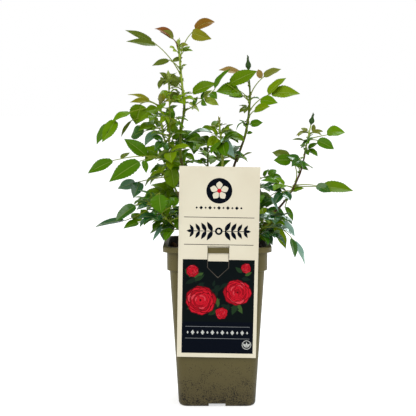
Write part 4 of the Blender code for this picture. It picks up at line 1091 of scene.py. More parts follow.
PRICKLE_GAPS, PRICKLE_SIZES = (0.5, 1.6), (0.6, 1.0)
PRICKLE_STAND = 0.8  # where a prickle's foot is, for its limb's radius
PRICKLE_SUNK, PRICKLE_THICK = 0.6, 0.30  # how far in it starts, and its radius there for its length
NODE_BUD_ABOVE = 1.5  # the leaf's foot
PRICKLE = ((0.3, 0, 0.17), (0.72, -0.12, 0.07), (1, -0.34, 0.012))  # way out, way up, radius
NODE_BUD = ((0.3, 0, 0.5), (1.1, 0.8, 0.85), (1.3, 1.9, 0.6), (1.0, 2.9, 0.06))  # the same
BUD_PROFILE = (  # height, radius
    (-1.5, STEM_TIP), (0, STEM_TIP * 1.2), (1.2, 2.1), (2.4, 2.7), (3.2, 2.5), (4.0, 2.4), (5.0, 2.8),
    (6.2, 3.1), (7.5, 3.1), (9.0, 2.8), (10.5, 2.3), (12.0, 1.6), (13.5, 1.0), (15.0, 0.6), (16.0, 0.15),
)
BUD_SIDES, BUD_RELIEF, BUD_GRAIN = 14, 0.05, 0.6
TRUNK_SIDES, TRUNK_RELIEF, TRUNK_GRAIN = 28, 0.16, 0.16
TRUNK_FOOT, TRUNK_HEAD = (5, 1.05), (1.6, 0.5)  # how far it runs past each end, and the share of radius
SEPALS, SEPAL_STEPS, SEPAL_PLACES = 5, 12, (-1, -0.5, 0, 0.5, 1)
SEPAL_FOOT, SEPAL_LENGTH, SEPAL_UNLIKE = 3.0, 16.5, 2.2  # height, length and how much that varies
SEPAL_WIDTH, SEPAL_POINT = 0.66, 0.25  # half width, for the bud's radius, and what its tip keeps
SEPAL_OPEN, SEPAL_OPENS = 2.2, 0.72  # how its tip stands off, and the share of it where that starts
SEPAL_RAISED, SEPAL_KEEL, SEPAL_SUNK = 0.28, 0.25, 0.05  # out of the bud, and into it


def add_horn(pile, foot, out, up, rings, kind):
    """A short tube to a point. Each ring has its way out, its way up and its radius."""
    tube(pile, [foot + out * a + up * b for a, b, _ in rings], [ring[2] for ring in rings], 6, kind)


def bark_radius(shoot, line, start, distance, feet):
    """The radius of a shoot's limb, from its foot at start, at a distance along its line."""
    if distance < line.joint:
        radius = between(CANE_ROOT, STEM_ROOT, (distance - start) / (line.joint - start))
    else:
        radius = between(STEM_ROOT, STEM_TIP, (distance - line.joint) / (line.run[-1] - line.joint))
    share = (distance - start) / (line.run[-1] - start)
    near = min((abs(distance - foot) for foot in feet), default=NODE_REACH)
    radius *= between(1, shoot.girth, min(share * 2, 1))
    radius *= 1 + NODE_SWELL * max(0, 1 - near / NODE_REACH)
    return radius * (1 + ROOT_FLARE * max(0, 1 - (distance - start) / ROOT_REACH))


def add_bark(pile, shoot, line, leaves, chance):
    """A shoot's cane and stem as one limb, with its prickles and the small bud at each leaf's foot."""
    start, end = max(line.start - ROOT_LAP, 0), line.run[-1]
    feet = [leaf_foot(line, each.leaf.at) for each in leaves]
    points, radii, kinds = [], [], []
    for place, share in stretch(line, start, end, BARK_STEP):
        points.append(place)
        radii.append(bark_radius(shoot, line, start, between(start, end, share), feet))
        kinds.append("bark_" + next(kind for kind, last in shoot.bark if share <= last))
    tube(pile, points, radii, BARK_SIDES, kinds[1:], BARK_RELIEF, BARK_GRAIN)
    distance = start + PRICKLES_FROM
    while distance < end * PRICKLES_END:
        place, along = point_at(line.points, line.run, distance)
        out = rolled(along.orthogonal().normalized(), along, chance.uniform(0, tau))
        foot = place + out * between(CANE_ROOT, STEM_TIP, distance / end) * PRICKLE_STAND
        length = PRICKLE_LENGTH * chance.uniform(*PRICKLE_SIZES)
        rings = [(-PRICKLE_SUNK, 0, length * PRICKLE_THICK)]
        rings += [(a * length, b * length, c * length) for a, b, c in PRICKLE]
        add_horn(pile, foot, out, along, rings, "prickle")
        distance += PRICKLE_STEP * chance.uniform(*PRICKLE_GAPS)
    for each, distance in zip(leaves, feet):
        place, along = point_at(line.points, line.run, distance + NODE_BUD_ABOVE)
        out = squared(each.stalk[1] - each.stalk[0], along)
        add_horn(pile, place + out * STEM_TIP, out, along, NODE_BUD, kinds[-1])


def add_sepal(pile, number, foot, along, tall):
    """One of the long sepals that are pressed to a bud, its tip a little open."""
    side, heading = along.orthogonal().normalized(), tau * number / SEPALS
    outer, inner = [], []
    for share in (step / SEPAL_STEPS for step in range(SEPAL_STEPS + 1)):
        height = SEPAL_FOOT + share * (SEPAL_LENGTH + SEPAL_UNLIKE * sin(number * 2.4))
        middle = foot + along * height * tall
        open_out = SEPAL_OPEN * max(0, share - SEPAL_OPENS) * (1 + 0.6 * sin(number * 1.7))
        radius = max(np.interp(height, *zip(*BUD)), 0.5) * 1.04 + open_out
        wide = SEPAL_WIDTH * (1 - share) ** 0.75 * radius + SEPAL_POINT
        for place in SEPAL_PLACES:
            out = rolled(side, along, heading + place * wide / radius)
            outer.append(middle + out * (radius + SEPAL_RAISED + SEPAL_KEEL * (1 - abs(place))))
            inner.append(middle + out * (radius - SEPAL_SUNK))
    top = np.arange(len(outer)).reshape(-1, len(SEPAL_PLACES))
    quads = grid_quads(top).reshape(-1, 4)
    ring = [*top[0], *top[1:, -1], *top[-1, -2::-1], *top[-2:0:-1, 0]]
    walls = [(b, a, a + len(outer), b + len(outer)) for a, b in zip(ring, ring[1:] + ring[:1])]
    backs = quads[:, (0, 3, 2, 1)] + len(outer)
    pile.shell(outer + inner, [(quads, "sepal"), (backs, "sepal"), (walls, "sepal")])


def add_bud(pile, foot, along, tall):
    """A closed flower bud: its hip, the body and its sepals. tall scales its height."""
    heights, radii = zip(*BUD_PROFILE)
    path = [foot + along * height * tall for height in heights]
    tube(pile, path, radii, BUD_SIDES, "bud_green", BUD_RELIEF, BUD_GRAIN)
    for number in range(SEPALS):
        add_sepal(pile, number, foot, along, tall)


def add_stalk(pile, blades, grown, tint, chance):
    """A leaf's stalk, the short stalks of its leaflets and the pair of stipules at its foot."""
    kind = "stalk_red" if tint == "b" else "stalk_green"
    path = smoothed(grown.stalk)[::STALK_SKIP]
    count = len(path)
    radii = [between(STALK_FOOT, STALK_TIP, (k / (count - 1)) ** 0.5) for k in range(count)]
    radii[0] *= STALK_FLARE
    tube(pile, path, radii, STALK_SIDES, kind)
    for leaflet in grown.leaflets:
        ways = [start + leaflet.length * more for start, more, _ in LEAFLET_STALK]
        places = [leaflet.foot + leaflet.forward * way for way in ways]
        tube(pile, places, [ring[2] for ring in LEAFLET_STALK], LEAFLET_STALK_SIDES, kind)
    along = (path[2] - path[0]).normalized()
    side, normal = blade_axes(along, 0)
    for hand in (1, -1):
        forward = (along + side * hand * STIPULE_SPREAD + normal * STIPULE_LIFT).normalized()
        size = STIPULE_LENGTH * chance.uniform(*STIPULE_SIZES)
        foot, face = path[0] + along * STIPULE_START, squared(normal, forward)
        stipule = Leaflet(foot, forward, face, size, STIPULE_WIDTH, STIPULE_ARCH)
        add_blade(blades, stipule, "o" if tint in YOUNG else "f", chance, STIPULE_ROWS)


def add_tip(blades, path, tint, length, chance):
    """The small folded leaves that stand round the tip of a growing shoot."""
    along = (path[-1] - path[-6]).normalized()
    for out in spokes(along, TIP_LEAVES):
        forward = (along + out * chance.uniform(*TIP_OPEN)).normalized()
        size = length * chance.uniform(*TIP_SIZES)
        foot = path[-1] - along * chance.uniform(*TIP_DEPTHS) + out * 0.8
        leaflet = Leaflet(foot, forward, -squared(out, forward), size, size * TIP_BROAD, TIP_ARCH)
        add_blade(blades, leaflet, tint, chance, TIP_ROWS)


def dress_shoot(name, shoot, leaves, chance):
    """The blades, the leaf stalks and the bark of a shoot, each as one piece."""
    line = LINES[name]
    blades, stalks, bark = Pile(), Pile(), Pile()
    for grown in leaves:
        dealt = chance.choice(shoot.deal) if grown.later or not grown.leaf.tints else ""
        tints = grown.leaf.tints or dealt
        for number, leaflet in enumerate(grown.leaflets):
            add_blade(blades, leaflet, tints[min(number, len(tints) - 1)], chance)
        add_stalk(stalks, blades, grown, tints[0], chance)
    if shoot.tip:
        add_tip(blades, line.points, *shoot.tip, chance)
    add_bark(bark, shoot, line, leaves, chance)
    if shoot.bud:
        add_bud(bark, line.points[-1], (line.points[-1] - line.points[-4]).normalized(), shoot.bud)
    blades.make("blades_" + name, "leaf", "leaves_" + name)
    stalks.make("stalks_" + name, "green_bark", "leaves_" + name)
    bark.make("bark_" + name, "green_bark", "cane_" + name, "leaves_" + name)


def make_trunk():
    """The knobby graft that the canes spring from."""
    pile = Pile()
    path = smoothed([place for place, _ in TRUNK_RINGS])[::2]
    radii = []
    for i in range(len(path)):
        low = min(i * 2 // FINE_STEPS, len(TRUNK_RINGS) - 2)
        part = i * 2 / FINE_STEPS - low
        smooth_part = part * part * (3 - 2 * part)
        radii.append(between(TRUNK_RINGS[low][1], TRUNK_RINGS[low + 1][1], smooth_part))
    (below, foot), (above, head) = TRUNK_FOOT, TRUNK_HEAD
    points = [path[0] - UP * below, *path, path[-1] + UP * above]
    radii = [radii[0] * foot, *radii, radii[-1] * head]
    tube(pile, points, radii, TRUNK_SIDES, "bark_trunk", TRUNK_RELIEF, TRUNK_GRAIN)
    pile.make("bark_trunk", "brown_bark", "trunk", angle=70)


# --- the pot and its soil ------------------------------------------------------------------------
CORNER_STEPS = 12
POT_SPREAD = 0.026  # how much wider the pot is at its rim than in the solids, from side to side
PROFILE_EDGE = 0.8  # how far from an edge of the pot's profile its rounding starts
EDGE_STEPS = 3
POT_SHARP = 32  # degrees
FOOT_ROUND = ((0.8, 0.75, 0), (0.25, 0.9, 0.35))  # way in, share of the corner's radius, way up
SOIL_RINGS, SOIL_BUMP = 26, 1.44
SOIL_DROP, SOIL_WAVES = 0.6, ((0.045, 1.1), (0.21, 0.7))  # how fine and how high each noise is
MOUND_HEIGHT, MOUND_REACH = 2.6, 26.0  # round the trunk
CRUMBS, CRUMB_SIZES = 420, (1.0, 1.3, 1.6, 2.2, 3.0)
CRUMB_SPREAD, CRUMB_LENGTHS, CRUMB_RISE = (0.8, 1.2), (0.8, 2.0), 0.35  # shares of a crumb's size
CRUMB_SIDES, CRUMB_RELIEF, CRUMB_GRAIN, CRUMB_MARGIN = 6, 0.5, 0.9, 3
CRUMB_KINDS = ("crumb_dark",) * 6 + ("crumb_brown",) * 4 + ("crumb_pale",)
CRUMB_PROFILE = ((-1, 0.3), (-0.5, 0.85), (0.1, 1.0), (0.6, 0.75), (1, 0.25))  # way along, radius
DRAIN_RADIUS, DRAIN_SIDES = 4.5, 20
DRAIN_PLACES = ((0, 0), (26, 26), (-26, 26), (26, -26), (-26, -26))


def square_ring(half, radius, height):
    """The corners of a level square with rounded corners, anticlockwise from above."""
    ring = []
    for start in (radians(90 * quarter) for quarter in range(4)):
        middle = rolled(Vector((half - radius, half - radius, 0)), UP, start)
        for step in range(CORNER_STEPS + 1):
            angle = start + radians(90) * step / CORNER_STEPS
            ring.append(middle + Vector((cos(angle), sin(angle), 0)) * radius + UP * height)
    return ring


def widened(ring):
    """The ring a little wider from side to side, the more so the higher it stands."""
    return [Vector((p.x * (1 + POT_SPREAD * p.z / POT_HEIGHT), p.y, p.z)) for p in ring]


def eased(profile):
    """The profile with a small round in place of each inner corner."""
    profile = [Vector(each) for each in profile]
    points = [profile[0]]
    for before, corner, after in zip(profile, profile[1:], profile[2:]):
        start, end = (
            corner + way * min(PROFILE_EDGE / max(way.length, 1e-6), 0.45)
            for way in (before - corner, after - corner)
        )
        for t in (step / EDGE_STEPS for step in range(EDGE_STEPS + 1)):
            points.append(start * (1 - t) ** 2 + corner * 2 * t * (1 - t) + end * t * t)
    return [*points, profile[-1]]


def loft(rings, kind, inner_kind=None, inner_from=0):
    """A closed shell through level rings. From ring inner_from on, its sides are of inner_kind."""
    count = len(rings[0])
    quads = [face for i in range(len(rings) - 1) for face in ring_quads(i * count, count)]
    caps = ([list(reversed(range(count)))], [[len(quads) + k for k in range(count)]])
    split = inner_from * count if inner_kind else len(quads)
    pile = Pile()
    groups = [(quads[:split], kind), (quads[split:], inner_kind), *((cap, kind) for cap in caps)]
    pile.shell([place for ring in rings for place in ring], groups)
    return pile


def body_half(height):
    """Half the width of the pot's body, outside, at a height."""
    return between(BASE_WIDTH, BODY_WIDTH, (height - FOOT_EDGE) / (COLLAR_FOOT - FOOT_EDGE)) / 2


def pot_profile():
    """Half width, corner radius and height, from the underside up and over the rim to the floor."""
    radius, foot, step = CORNER_RADIUS, body_half(0), body_half(COLLAR_FOOT)
    return [
        *((foot - FOOT_EDGE * back, radius * share, FOOT_EDGE * up) for back, share, up in FOOT_ROUND),
        (body_half(FOOT_EDGE), radius, FOOT_EDGE),
        (step, radius, COLLAR_FOOT),
        (COLLAR, radius + WALL, COLLAR_FOOT + COLLAR_SLOPE),
        (COLLAR, radius + WALL, POT_HEIGHT - WALL),
        (RIM - WALL, radius + 2 * WALL, POT_HEIGHT - WALL),
        (RIM - WALL, radius + 2 * WALL, UNDER_LIP),
        (RIM, radius + 3 * WALL, UNDER_LIP),
        (RIM, radius + 3 * WALL, POT_HEIGHT - EDGE),
        (RIM - EDGE, radius + 3 * WALL - EDGE, POT_HEIGHT),
        (COLLAR - WALL, radius, POT_HEIGHT),
        (COLLAR - WALL, radius, COLLAR_FOOT + COLLAR_SLOPE + WALL),
        (step - WALL, radius - WALL, COLLAR_FOOT),
        (body_half(FLOOR) - WALL, radius - WALL, FLOOR),
    ]


def upright(corners, low, high):
    """The two rings of a prism that stands on a level outline."""
    return [[Vector((x, y, z)) for x, y in corners] for z in (low, high)]


def pot_cuts():
    """The rings of what is cut out of the pot: notches, the slot in the rim and the drain holes."""
    half = NOTCH_WIDTH / 2
    for sign, axis in ((-1, 1), (1, 1), (-1, 0), (1, 0)):
        low, high = [-half, -half], [half, half]
        low[axis], high[axis] = sorted((-sign * DRAIN_RADIUS, sign * RIM))
        yield upright(rectangle(*low, *high), -OVERCUT, NOTCH_HEIGHT)
    slot = rectangle(-SLOT_WIDTH / 2, WALL - RIM, SLOT_WIDTH / 2, WALL - RIM + SLOT_DEPTH)
    yield upright(slot, POT_HEIGHT - WALL - OVERCUT, POT_HEIGHT + OVERCUT)
    for x, y in DRAIN_PLACES:
        yield upright(disc(x, y, DRAIN_RADIUS, DRAIN_SIDES), -OVERCUT, FLOOR + OVERCUT)


def make_pot():
    profile = eased(pot_profile())
    inner_from = max(k for k, ring in enumerate(profile) if ring[2] > POT_HEIGHT - EDGE)
    rings = [widened(square_ring(*ring)) for ring in profile]
    # From the rim's inner edge down, the inner wall is given the darker colour, as painted shade inside the
    # pot.
    shell = loft(rings, "pot_taupe", "pot_inside", inner_from)
    pot = shell.make("pot_shell", "pot_plastic", "pot", angle=POT_SHARP)
    for number, rings in enumerate(pot_cuts()):
        cut = pot.modifiers.new(f"cut_{number}", "BOOLEAN")
        cut.operation = "DIFFERENCE"
        cut.object = new_object(f"cutter_{number}", loft(rings, "pot_taupe").mesh(f"cutter_{number}"))
    cutters = [cut.object for cut in pot.modifiers]
    bpy.context.view_layer.update()
    graph = bpy.context.evaluated_depsgraph_get()
    cut_mesh = bpy.data.meshes.new_from_object(pot.evaluated_get(graph))
    pot.modifiers.clear()
    pot.data = cut_mesh
    for cutter in cutters:
        bpy.data.objects.remove(cutter)
    smooth(cut_mesh, POT_SHARP)


def soil_height(x, y):
    """The rough top of the soil, which mounds a little round the trunk."""
    rough = sum(noise.noise(Vector((x, y, 0)) * fine) * high for fine, high in SOIL_WAVES)
    trunk_x, trunk_y, *_ = TRUNK[0]
    mound = MOUND_HEIGHT * exp(-((x - trunk_x) ** 2 + (y - trunk_y) ** 2) / MOUND_REACH**2)
    return SOIL - SOIL_DROP + rough * SOIL_BUMP + mound


def make_soil(chance):
    """The pot's filling with a rough top, and crumbs and chips lying on it."""
    inset = WALL + GAP
    over_step = COLLAR_FOOT + COLLAR_SLOPE + WALL + GAP
    rings = [
        square_ring(body_half(FLOOR) - inset, CORNER_RADIUS - WALL, FLOOR + GAP),
        square_ring(body_half(COLLAR_FOOT) - inset, CORNER_RADIUS - WALL, COLLAR_FOOT - GAP),
        square_ring(COLLAR - inset, CORNER_RADIUS, over_step),
    ]
    rim = square_ring(COLLAR - inset, CORNER_RADIUS, SOIL)
    for share in (1 - k / SOIL_RINGS for k in range(SOIL_RINGS)):
        rings.append([Vector((*(p.xy * share), soil_height(*(p.xy * share)))) for p in rim])
    pile = loft([widened(ring) for ring in rings], "soil_dark")
    half = COLLAR - inset - CRUMB_MARGIN
    for _ in range(CRUMBS):
        x, y = chance.uniform(-half, half), chance.uniform(-half, half)
        size = chance.choice(CRUMB_SIZES) * chance.uniform(*CRUMB_SPREAD)
        along = [chance.uniform(-1, 1), chance.uniform(-1, 1), chance.uniform(-0.4, 0.4)]
        along = Vector(along).normalized() * size * chance.uniform(*CRUMB_LENGTHS)
        centre = Vector((x, y, soil_height(x, y) + size * CRUMB_RISE))
        path = [centre + along * share for share, _ in CRUMB_PROFILE]
        radii = [size * radius for _, radius in CRUMB_PROFILE]
        tube(pile, path, radii, CRUMB_SIDES, chance.choice(CRUMB_KINDS), CRUMB_RELIEF, CRUMB_GRAIN)
    pile.make("soil_filling", "compost", "soil", angle=60)


# --- the label -----------------------------------------------------------------------------------
# Places on the label are across and up, seen from its front.
PRINT_STEP = 0.012  # height of one layer of print over the next
PRINT_SUNK = 0.06  # how far print reaches into the card
CUT_LAP = 0.12  # how far the painted shadow line of the cut laps over the print at its sides
TONGUE_PRINT_TOP = 212.0
LEFT, RIGHT = -49.6, 51.2  # of the picture and the band under it
PICTURE_TOP, BAND_TOP, BAND_FOOT = 214.5, 124.7, 79.0
DIM_LEAVES = 60
ROSETTES = (  # x, z, radius, heading
    (-36, 198, 9.5, 25), (39, 203, 7.5, 55), (6, 137.5, 9.0, 70),
    (-24, 156, 22.5, 10), (28, 168, 20.0, 40),
)
ROSETTE_RINGS = (  # petals, reach
    (8, 1.0), (8, 0.87), (9, 0.74), (9, 0.61), (8, 0.48), (7, 0.36), (5, 0.24),
)
PETAL_KINDS = (  # in even and in odd rings
    ("ink_red", "ink_red_dim"), ("ink_red", "ink_red", "ink_red_pale"),
)
SPRAYS = (  # x, z, size, heading
    (-27, 150, 17, 40), (-27, 150, 17, 78), (-27, 150, 18, 205), (-30, 152, 16, 160), (-20, 150, 16, 265),
    (27, 152, 18, 250), (27, 152, 17, 300), (30, 160, 18, 15), (27, 160, 20, 62), (22, 158, 18, 130),
    (-40, 188, 15, 75), (-38, 190, 14, 130), (-33, 188, 15, 30), (36, 196, 13, 80), (34, 196, 13, 140),
    (38, 192, 11, 30), (0, 142, 15, 210), (0, 142, 15, 330), (0, 146, 14, 90),
)
EMBLEM = (-0.3, 312.1, 18.0)  # x, z, radius
SPRIG_HEIGHT, SPRIG_HALF, SPRIG_PAIRS, SPRIG_STEP = 255.0, 38.0, 4, 8.8
SPRIG_LEAF, SPRIG_LOSS, SPRIG_LEAN = 17.0, 1.6, 60  # length, less of it by pair outwards, degrees
SEAL, SEAL_OUTSIDE, SEAL_INSIDE = (42.3, 91.8), 6.6, 5.7
BAND_RULES, BAND_MIDDLE, BAND_STEP = (117.7, 100.6), 109.2, 7.0
BAND_INSET, BAND_LINE, BAND_LOZENGES = 5, 0.3, ((1.5, 2.2), (2.6, 3.6))  # half sizes
LABEL_RULES, RULE_SHIFT, RULE_LINE = ((274.5, 49.0), (235.8, 48.5)), 0.3, 0.45  # z, half width
DOTS_HEIGHT, DOTS_STEP, DOTS_SHIFT, DOT_SIZES = 288, 6.2, -0.3, (2.7, 1.7)
LABEL_MATRIX = (
    Matrix.Translation(Vector((LABEL_SHIFT, -RIM - LABEL_STANDOFF, LABEL_REST)))
    @ Matrix.Rotation(radians(LABEL_LEAN), 4, "X")
    @ Matrix.Rotation(radians(LABEL_TURN), 4, "Y")
)


def prints(pile, layer, kind, *outlines, face=-LABEL_THICKNESS / 2):
    """Flat patches of print, a little proud of the card, the more so the higher their layer."""
    for each in outlines:
        count = len(each)
        if sum(a[0] * b[1] - b[0] * a[1] for a, b in zip(each, each[1:] + each[:1])) < 0:
            each = each[::-1]
        points = []
        for depth in (face - PRINT_STEP * (layer + 1), face + PRINT_SUNK):
            points += [LABEL_MATRIX @ Vector((x, depth, z - LABEL_REST)) for x, z in each]
        walls = [(b, a, a + count, b + count) for a, b in ((k, (k + 1) % count) for k in range(count))]
        back = [[count + k for k in reversed(range(count))]]
        pile.shell(points, [([list(range(count))], kind), (back, kind), (walls, kind)])


def rule(x, z, half, thick):
    return rectangle(x - half, z - thick, x + half, z + thick)


def lozenge(x, z, wide, tall):
    return [(x, z - tall), (x + wide, z), (x, z + tall), (x - wide, z)]


def petal(x, z, length, width, heading, steps=8, blunt=0.8):
    """A leaf or petal outline from its foot at x, z, pointing at heading."""
    way = (cos(radians(heading)), sin(radians(heading)))
    spine = [(length * k / steps, width / 2 * sin(pi * (k / steps) ** blunt)) for k in range(1, steps)]
    edge = [(0, 0), *((a, -b) for a, b in spine), (length, 0), *reversed(spine)]
    return [(x + a * way[0] - b * way[1], z + a * way[1] + b * way[0]) for a, b in edge]


def print_rosette(pile, x, z, radius, heading, chance):
    """A full round flower: rings of petals, each petal a dark edge with a brighter face over it."""
    layer = 3
    for ring, (count, share) in enumerate(ROSETTE_RINGS):
        for k in range(count):
            turn = heading + 360 * k / count + 23 * ring + chance.uniform(-7, 7)
            reach = radius * share * chance.uniform(0.92, 1.04)
            wide = reach * 5.6 / count + radius * 0.14
            kind = chance.choice(PETAL_KINDS[ring % 2])
            prints(pile, layer, "ink_red_deep", petal(x, z, reach, wide, turn, 10, 2.6))
            prints(pile, layer + 1, kind, petal(x, z, reach * 0.96, wide * 0.84, turn, 10, 2.6))
            layer += 0.25
        layer += 1
    prints(pile, layer + 1, "ink_red_deep", disc(x, z, radius * 0.07, 12))


def print_emblem(pile):
    x, z, radius = EMBLEM
    prints(pile, 0, "ink_navy", disc(x, z, radius, 48))
    for k in range(5):
        prints(pile, 1 + k % 2, "ink_cream", petal(x, z, radius * 0.74, radius * 0.5, 90 + 72 * k, 8, 1.5))
    prints(pile, 4, "ink_red", disc(x, z, radius * 0.17, 20))


def print_sprig(pile):
    """A level sprig of paired leaves where the label's name would be."""
    z, half = SPRIG_HEIGHT, SPRIG_HALF
    prints(pile, 0, "ink_navy", rule(0, z, half, 0.5))
    for k in (*range(-SPRIG_PAIRS, 0), *range(1, SPRIG_PAIRS + 1)):
        size, lean = SPRIG_LEAF - abs(k) * SPRIG_LOSS, SPRIG_LEAN if k < 0 else 180 - SPRIG_LEAN
        leaves = [petal(k * SPRIG_STEP, z, size, size * 0.40, 180 + sign * lean) for sign in (-1, 1)]
        prints(pile, 1, "ink_navy", *leaves)
    prints(pile, 1, "ink_navy", petal(half - 2, z, 9, 4.4, 0), petal(2 - half, z, 9, 4.4, 180))
    prints(pile, 1, "ink_navy", disc(0, z, 5.4, 28))
    prints(pile, 2, "ink_cream", disc(0, z, 2.6, 20))


def print_cut(pile, side, tip):
    """The painted shadow line of the cut round the tongue's point, which stands in for the shade in its
    gap.
    """
    outer, inner = side + CUT_LAP, side - TONGUE_PLAY - CUT_LAP
    shoulder = TONGUE_SHOULDER - CUT_LAP * (TONGUE_SHOULDER - tip) / side
    drop = TONGUE_PLAY * 1.5 + CUT_LAP
    for a, b in ((-outer, -inner), (outer, inner)):
        edge = [(a, PICTURE_TOP), (b, PICTURE_TOP), (b, TONGUE_SHOULDER), (a, shoulder)]
        slant = [(a, shoulder), (b, TONGUE_SHOULDER), (0, tip + drop), (0, tip - CUT_LAP)]
        prints(pile, 0.5, "ink_cut", edge, slant)


def print_picture(pile):
    """Four plain roses among leaves on a dark ground, which leaves the tongue's cut free for a painted
    shadow line.
    """
    inner, shoulder = TONGUE_WIDTH / 2, TONGUE_SHOULDER
    side, tip = inner + TONGUE_PLAY, TONGUE_TIP - TONGUE_PLAY * 1.5
    grounds = [rectangle(LEFT, BAND_TOP, -side, PICTURE_TOP), rectangle(side, BAND_TOP, RIGHT, PICTURE_TOP)]
    grounds.append(rectangle(-side, BAND_TOP, side, tip))
    grounds += [[(0, tip), (side * sign, tip), (side * sign, shoulder)] for sign in (-1, 1)]
    prints(pile, 0, "ink_green", *grounds)
    tongue = [(-inner, shoulder), (0, TONGUE_TIP + 0.2), (inner, shoulder)]
    tongue += [(inner, TONGUE_PRINT_TOP), (-inner, TONGUE_PRINT_TOP)]
    prints(pile, 0, "ink_green", tongue, face=-TONGUE_THICKNESS / 2)
    print_cut(pile, side, tip)
    for number, (x, z, size, heading) in enumerate(SPRAYS):
        kind = "ink_leaf" if number % 3 else "ink_leaf_pale"
        prints(pile, 1 + number % 2, kind, petal(x, z, size, size * 0.45, heading))
    chance = random.Random(SEED + 2)
    for number in range(DIM_LEAVES):
        size, heading = chance.uniform(9, 16), chance.uniform(0, 360)
        x, z = chance.uniform(LEFT + 17, RIGHT - 17), chance.uniform(BAND_TOP + 17, PICTURE_TOP - 17)
        if abs(x) >= side + size or z <= tip - size:
            kind = chance.choice(("ink_leaf_dim", "ink_leaf_dim", "ink_leaf"))
            prints(pile, 0.5 + number * 0.01, kind, petal(x, z, size, size * 0.42, heading))
    for rosette in ROSETTES:
        print_rosette(pile, *rosette, chance)


def print_band(pile):
    """Rows of lozenges between two rules, and a round seal, on a navy ground."""
    prints(pile, 0, "ink_navy", rectangle(LEFT, BAND_FOOT, RIGHT, BAND_TOP))
    middle = (LEFT + RIGHT) / 2
    half = middle - LEFT - BAND_INSET
    prints(pile, 1, "ink_grey", *(rule(middle, z, half, BAND_LINE) for z in BAND_RULES))
    dots = [lozenge(middle + BAND_STEP * k, BAND_MIDDLE, *BAND_LOZENGES[k % 2]) for k in range(-6, 7)]
    prints(pile, 1, "ink_pale", *dots, disc(*SEAL, SEAL_OUTSIDE))
    prints(pile, 2, "ink_navy", disc(*SEAL, SEAL_INSIDE))
    x, z = SEAL
    prints(pile, 3, "ink_pale", *(petal(x, z - 3.8, 8.0, 3.2, 50 + 40 * k) for k in range(3)))


def print_rules(pile):
    prints(pile, 0, "ink_navy", *(rule(RULE_SHIFT, z, half, RULE_LINE) for z, half in LABEL_RULES))
    for k in range(-5, 6):
        size = DOT_SIZES[k % 2]
        prints(pile, 0, "ink_navy", lozenge(k * DOTS_STEP + DOTS_SHIFT, DOTS_HEIGHT, size, size))


def make_label():
    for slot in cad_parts["label"].material_slots:
        slot.material = finish_named("card_cream")
    parts = {
        "label_emblem": print_emblem,
        "label_sprig": print_sprig,
        "label_picture": print_picture,
        "label_band": print_band,
        "label_rules": print_rules,
    }
    for name, print_part in parts.items():
        pile = Pile()
        print_part(pile)
        pile.make(name, "label_card", angle=30)


# --- camera, light and floor ---------------------------------------------------------------------
# Places and widths here are in metres.
FOCAL_PIXELS, IMAGE_PIXELS, SENSOR = 1370.0, 416, 36.0
CAMERA_PLACE = (-0.013, -1.975, 0.470)
CAMERA_TILT = 84.5
FLOOR_REACH = 14.0
FLOOR_GLOW = 0.62
SKY_STRENGTH = 0.30
AIM = Vector((0, 0, 0.27))  # where the lights point
LIGHTS = (  # kind, name, place, a sun's angle in degrees or a lamp's width, power, colour
    ("SUN", "key", (-1.0, -1.9, 1.9), 40, 2.15, (1.0, 0.985, 0.94)),
    ("SUN", "fill", (1.8, -1.6, 1.9), 60, 0.8, (0.97, 0.98, 1.0)),
    ("SUN", "top", (0.4, 1.4, 2.2), 60, 0.6, (0.96, 0.98, 1.0)),
    ("AREA", "side_left", (-1.9, 0.5, 0.6), 1.3, 9, (0.96, 0.98, 1.0)),
    ("AREA", "side_right", (1.9, 0.5, 0.6), 1.3, 16, (0.96, 0.98, 1.0)),
    ("AREA", "gloss", (0.5, 1.2, 2.2), 1.2, 36, (0.86, 0.95, 1.0)),
)


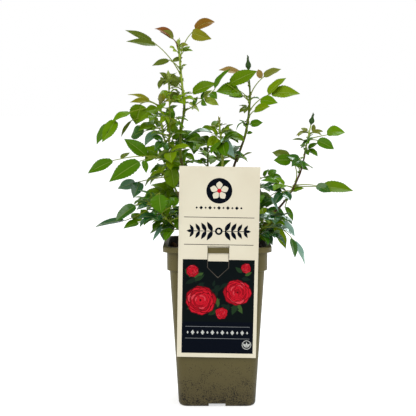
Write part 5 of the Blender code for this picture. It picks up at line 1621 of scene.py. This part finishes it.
def make_camera():
    data = bpy.data.cameras.new("camera")
    data.sensor_width = SENSOR
    data.lens = FOCAL_PIXELS / IMAGE_PIXELS * SENSOR
    made = new_object("camera", data)
    made.location = CAMERA_PLACE
    made.rotation_euler = (radians(CAMERA_TILT), 0, 0)
    bpy.context.scene.camera = made


def make_light(kind, name, place, spread, power, colour):
    data = bpy.data.lights.new(name, kind)
    data.energy = power
    data.color = colour
    if kind == "SUN":
        data.angle = radians(spread)
    else:
        data.shape = "DISK"
        data.size = spread
    made = new_object(name, data)
    made.location = place
    made.rotation_euler = (AIM - Vector(place)).to_track_quat("-Z", "Y").to_euler()


def make_floor():
    mesh = bpy.data.meshes.new("floor")
    mesh.from_pydata([(x, y, 0) for x, y in rule(0, 0, FLOOR_REACH, FLOOR_REACH)], [], [(0, 1, 2, 3)])
    _, shader = new_material("floor_pale", (0.5, 0.5, 0.5), 0.9, 0.0)
    set_inputs(shader, {"Emission Color": (1.0, 1.0, 1.0), "Emission Strength": FLOOR_GLOW})
    mesh.materials.append(bpy.data.materials["floor_pale"])
    made = new_object("floor", mesh)


def make_world():
    """A white surround as the camera sees it, which lights the plant only dimly."""
    world = bpy.data.worlds.new("studio")
    world.use_nodes = True
    tree = world.node_tree
    seen = tree.nodes["Background"]
    set_inputs(seen, {"Color": (1.0, 1.0, 1.0)})
    dim = new_node(tree, "Background", {"Color": (0.97, 0.98, 1.0), "Strength": SKY_STRENGTH})
    camera_ray = new_node(tree, "LightPath").outputs["Is Camera Ray"]
    values = {"Fac": camera_ray, 1: dim.outputs["Background"], 2: seen.outputs["Background"]}
    mix = new_node(tree, "MixShader", values)
    set_inputs(tree.nodes["World Output"], {"Surface": mix.outputs["Shader"]})
    bpy.context.scene.world = world


def main():
    make_camera()
    bpy.context.scene.view_settings.view_transform = "Standard"
    make_world()
    for light in LIGHTS:
        make_light(*light)
    make_floor()
    make_pot()
    make_soil(random.Random(SEED + 1))
    make_label()
    make_trunk()
    for number, (name, leaves) in enumerate(grow().items()):
        dress_shoot(name, SHOOTS[name], leaves, random.Random(SEED * 1000 + number))


main()
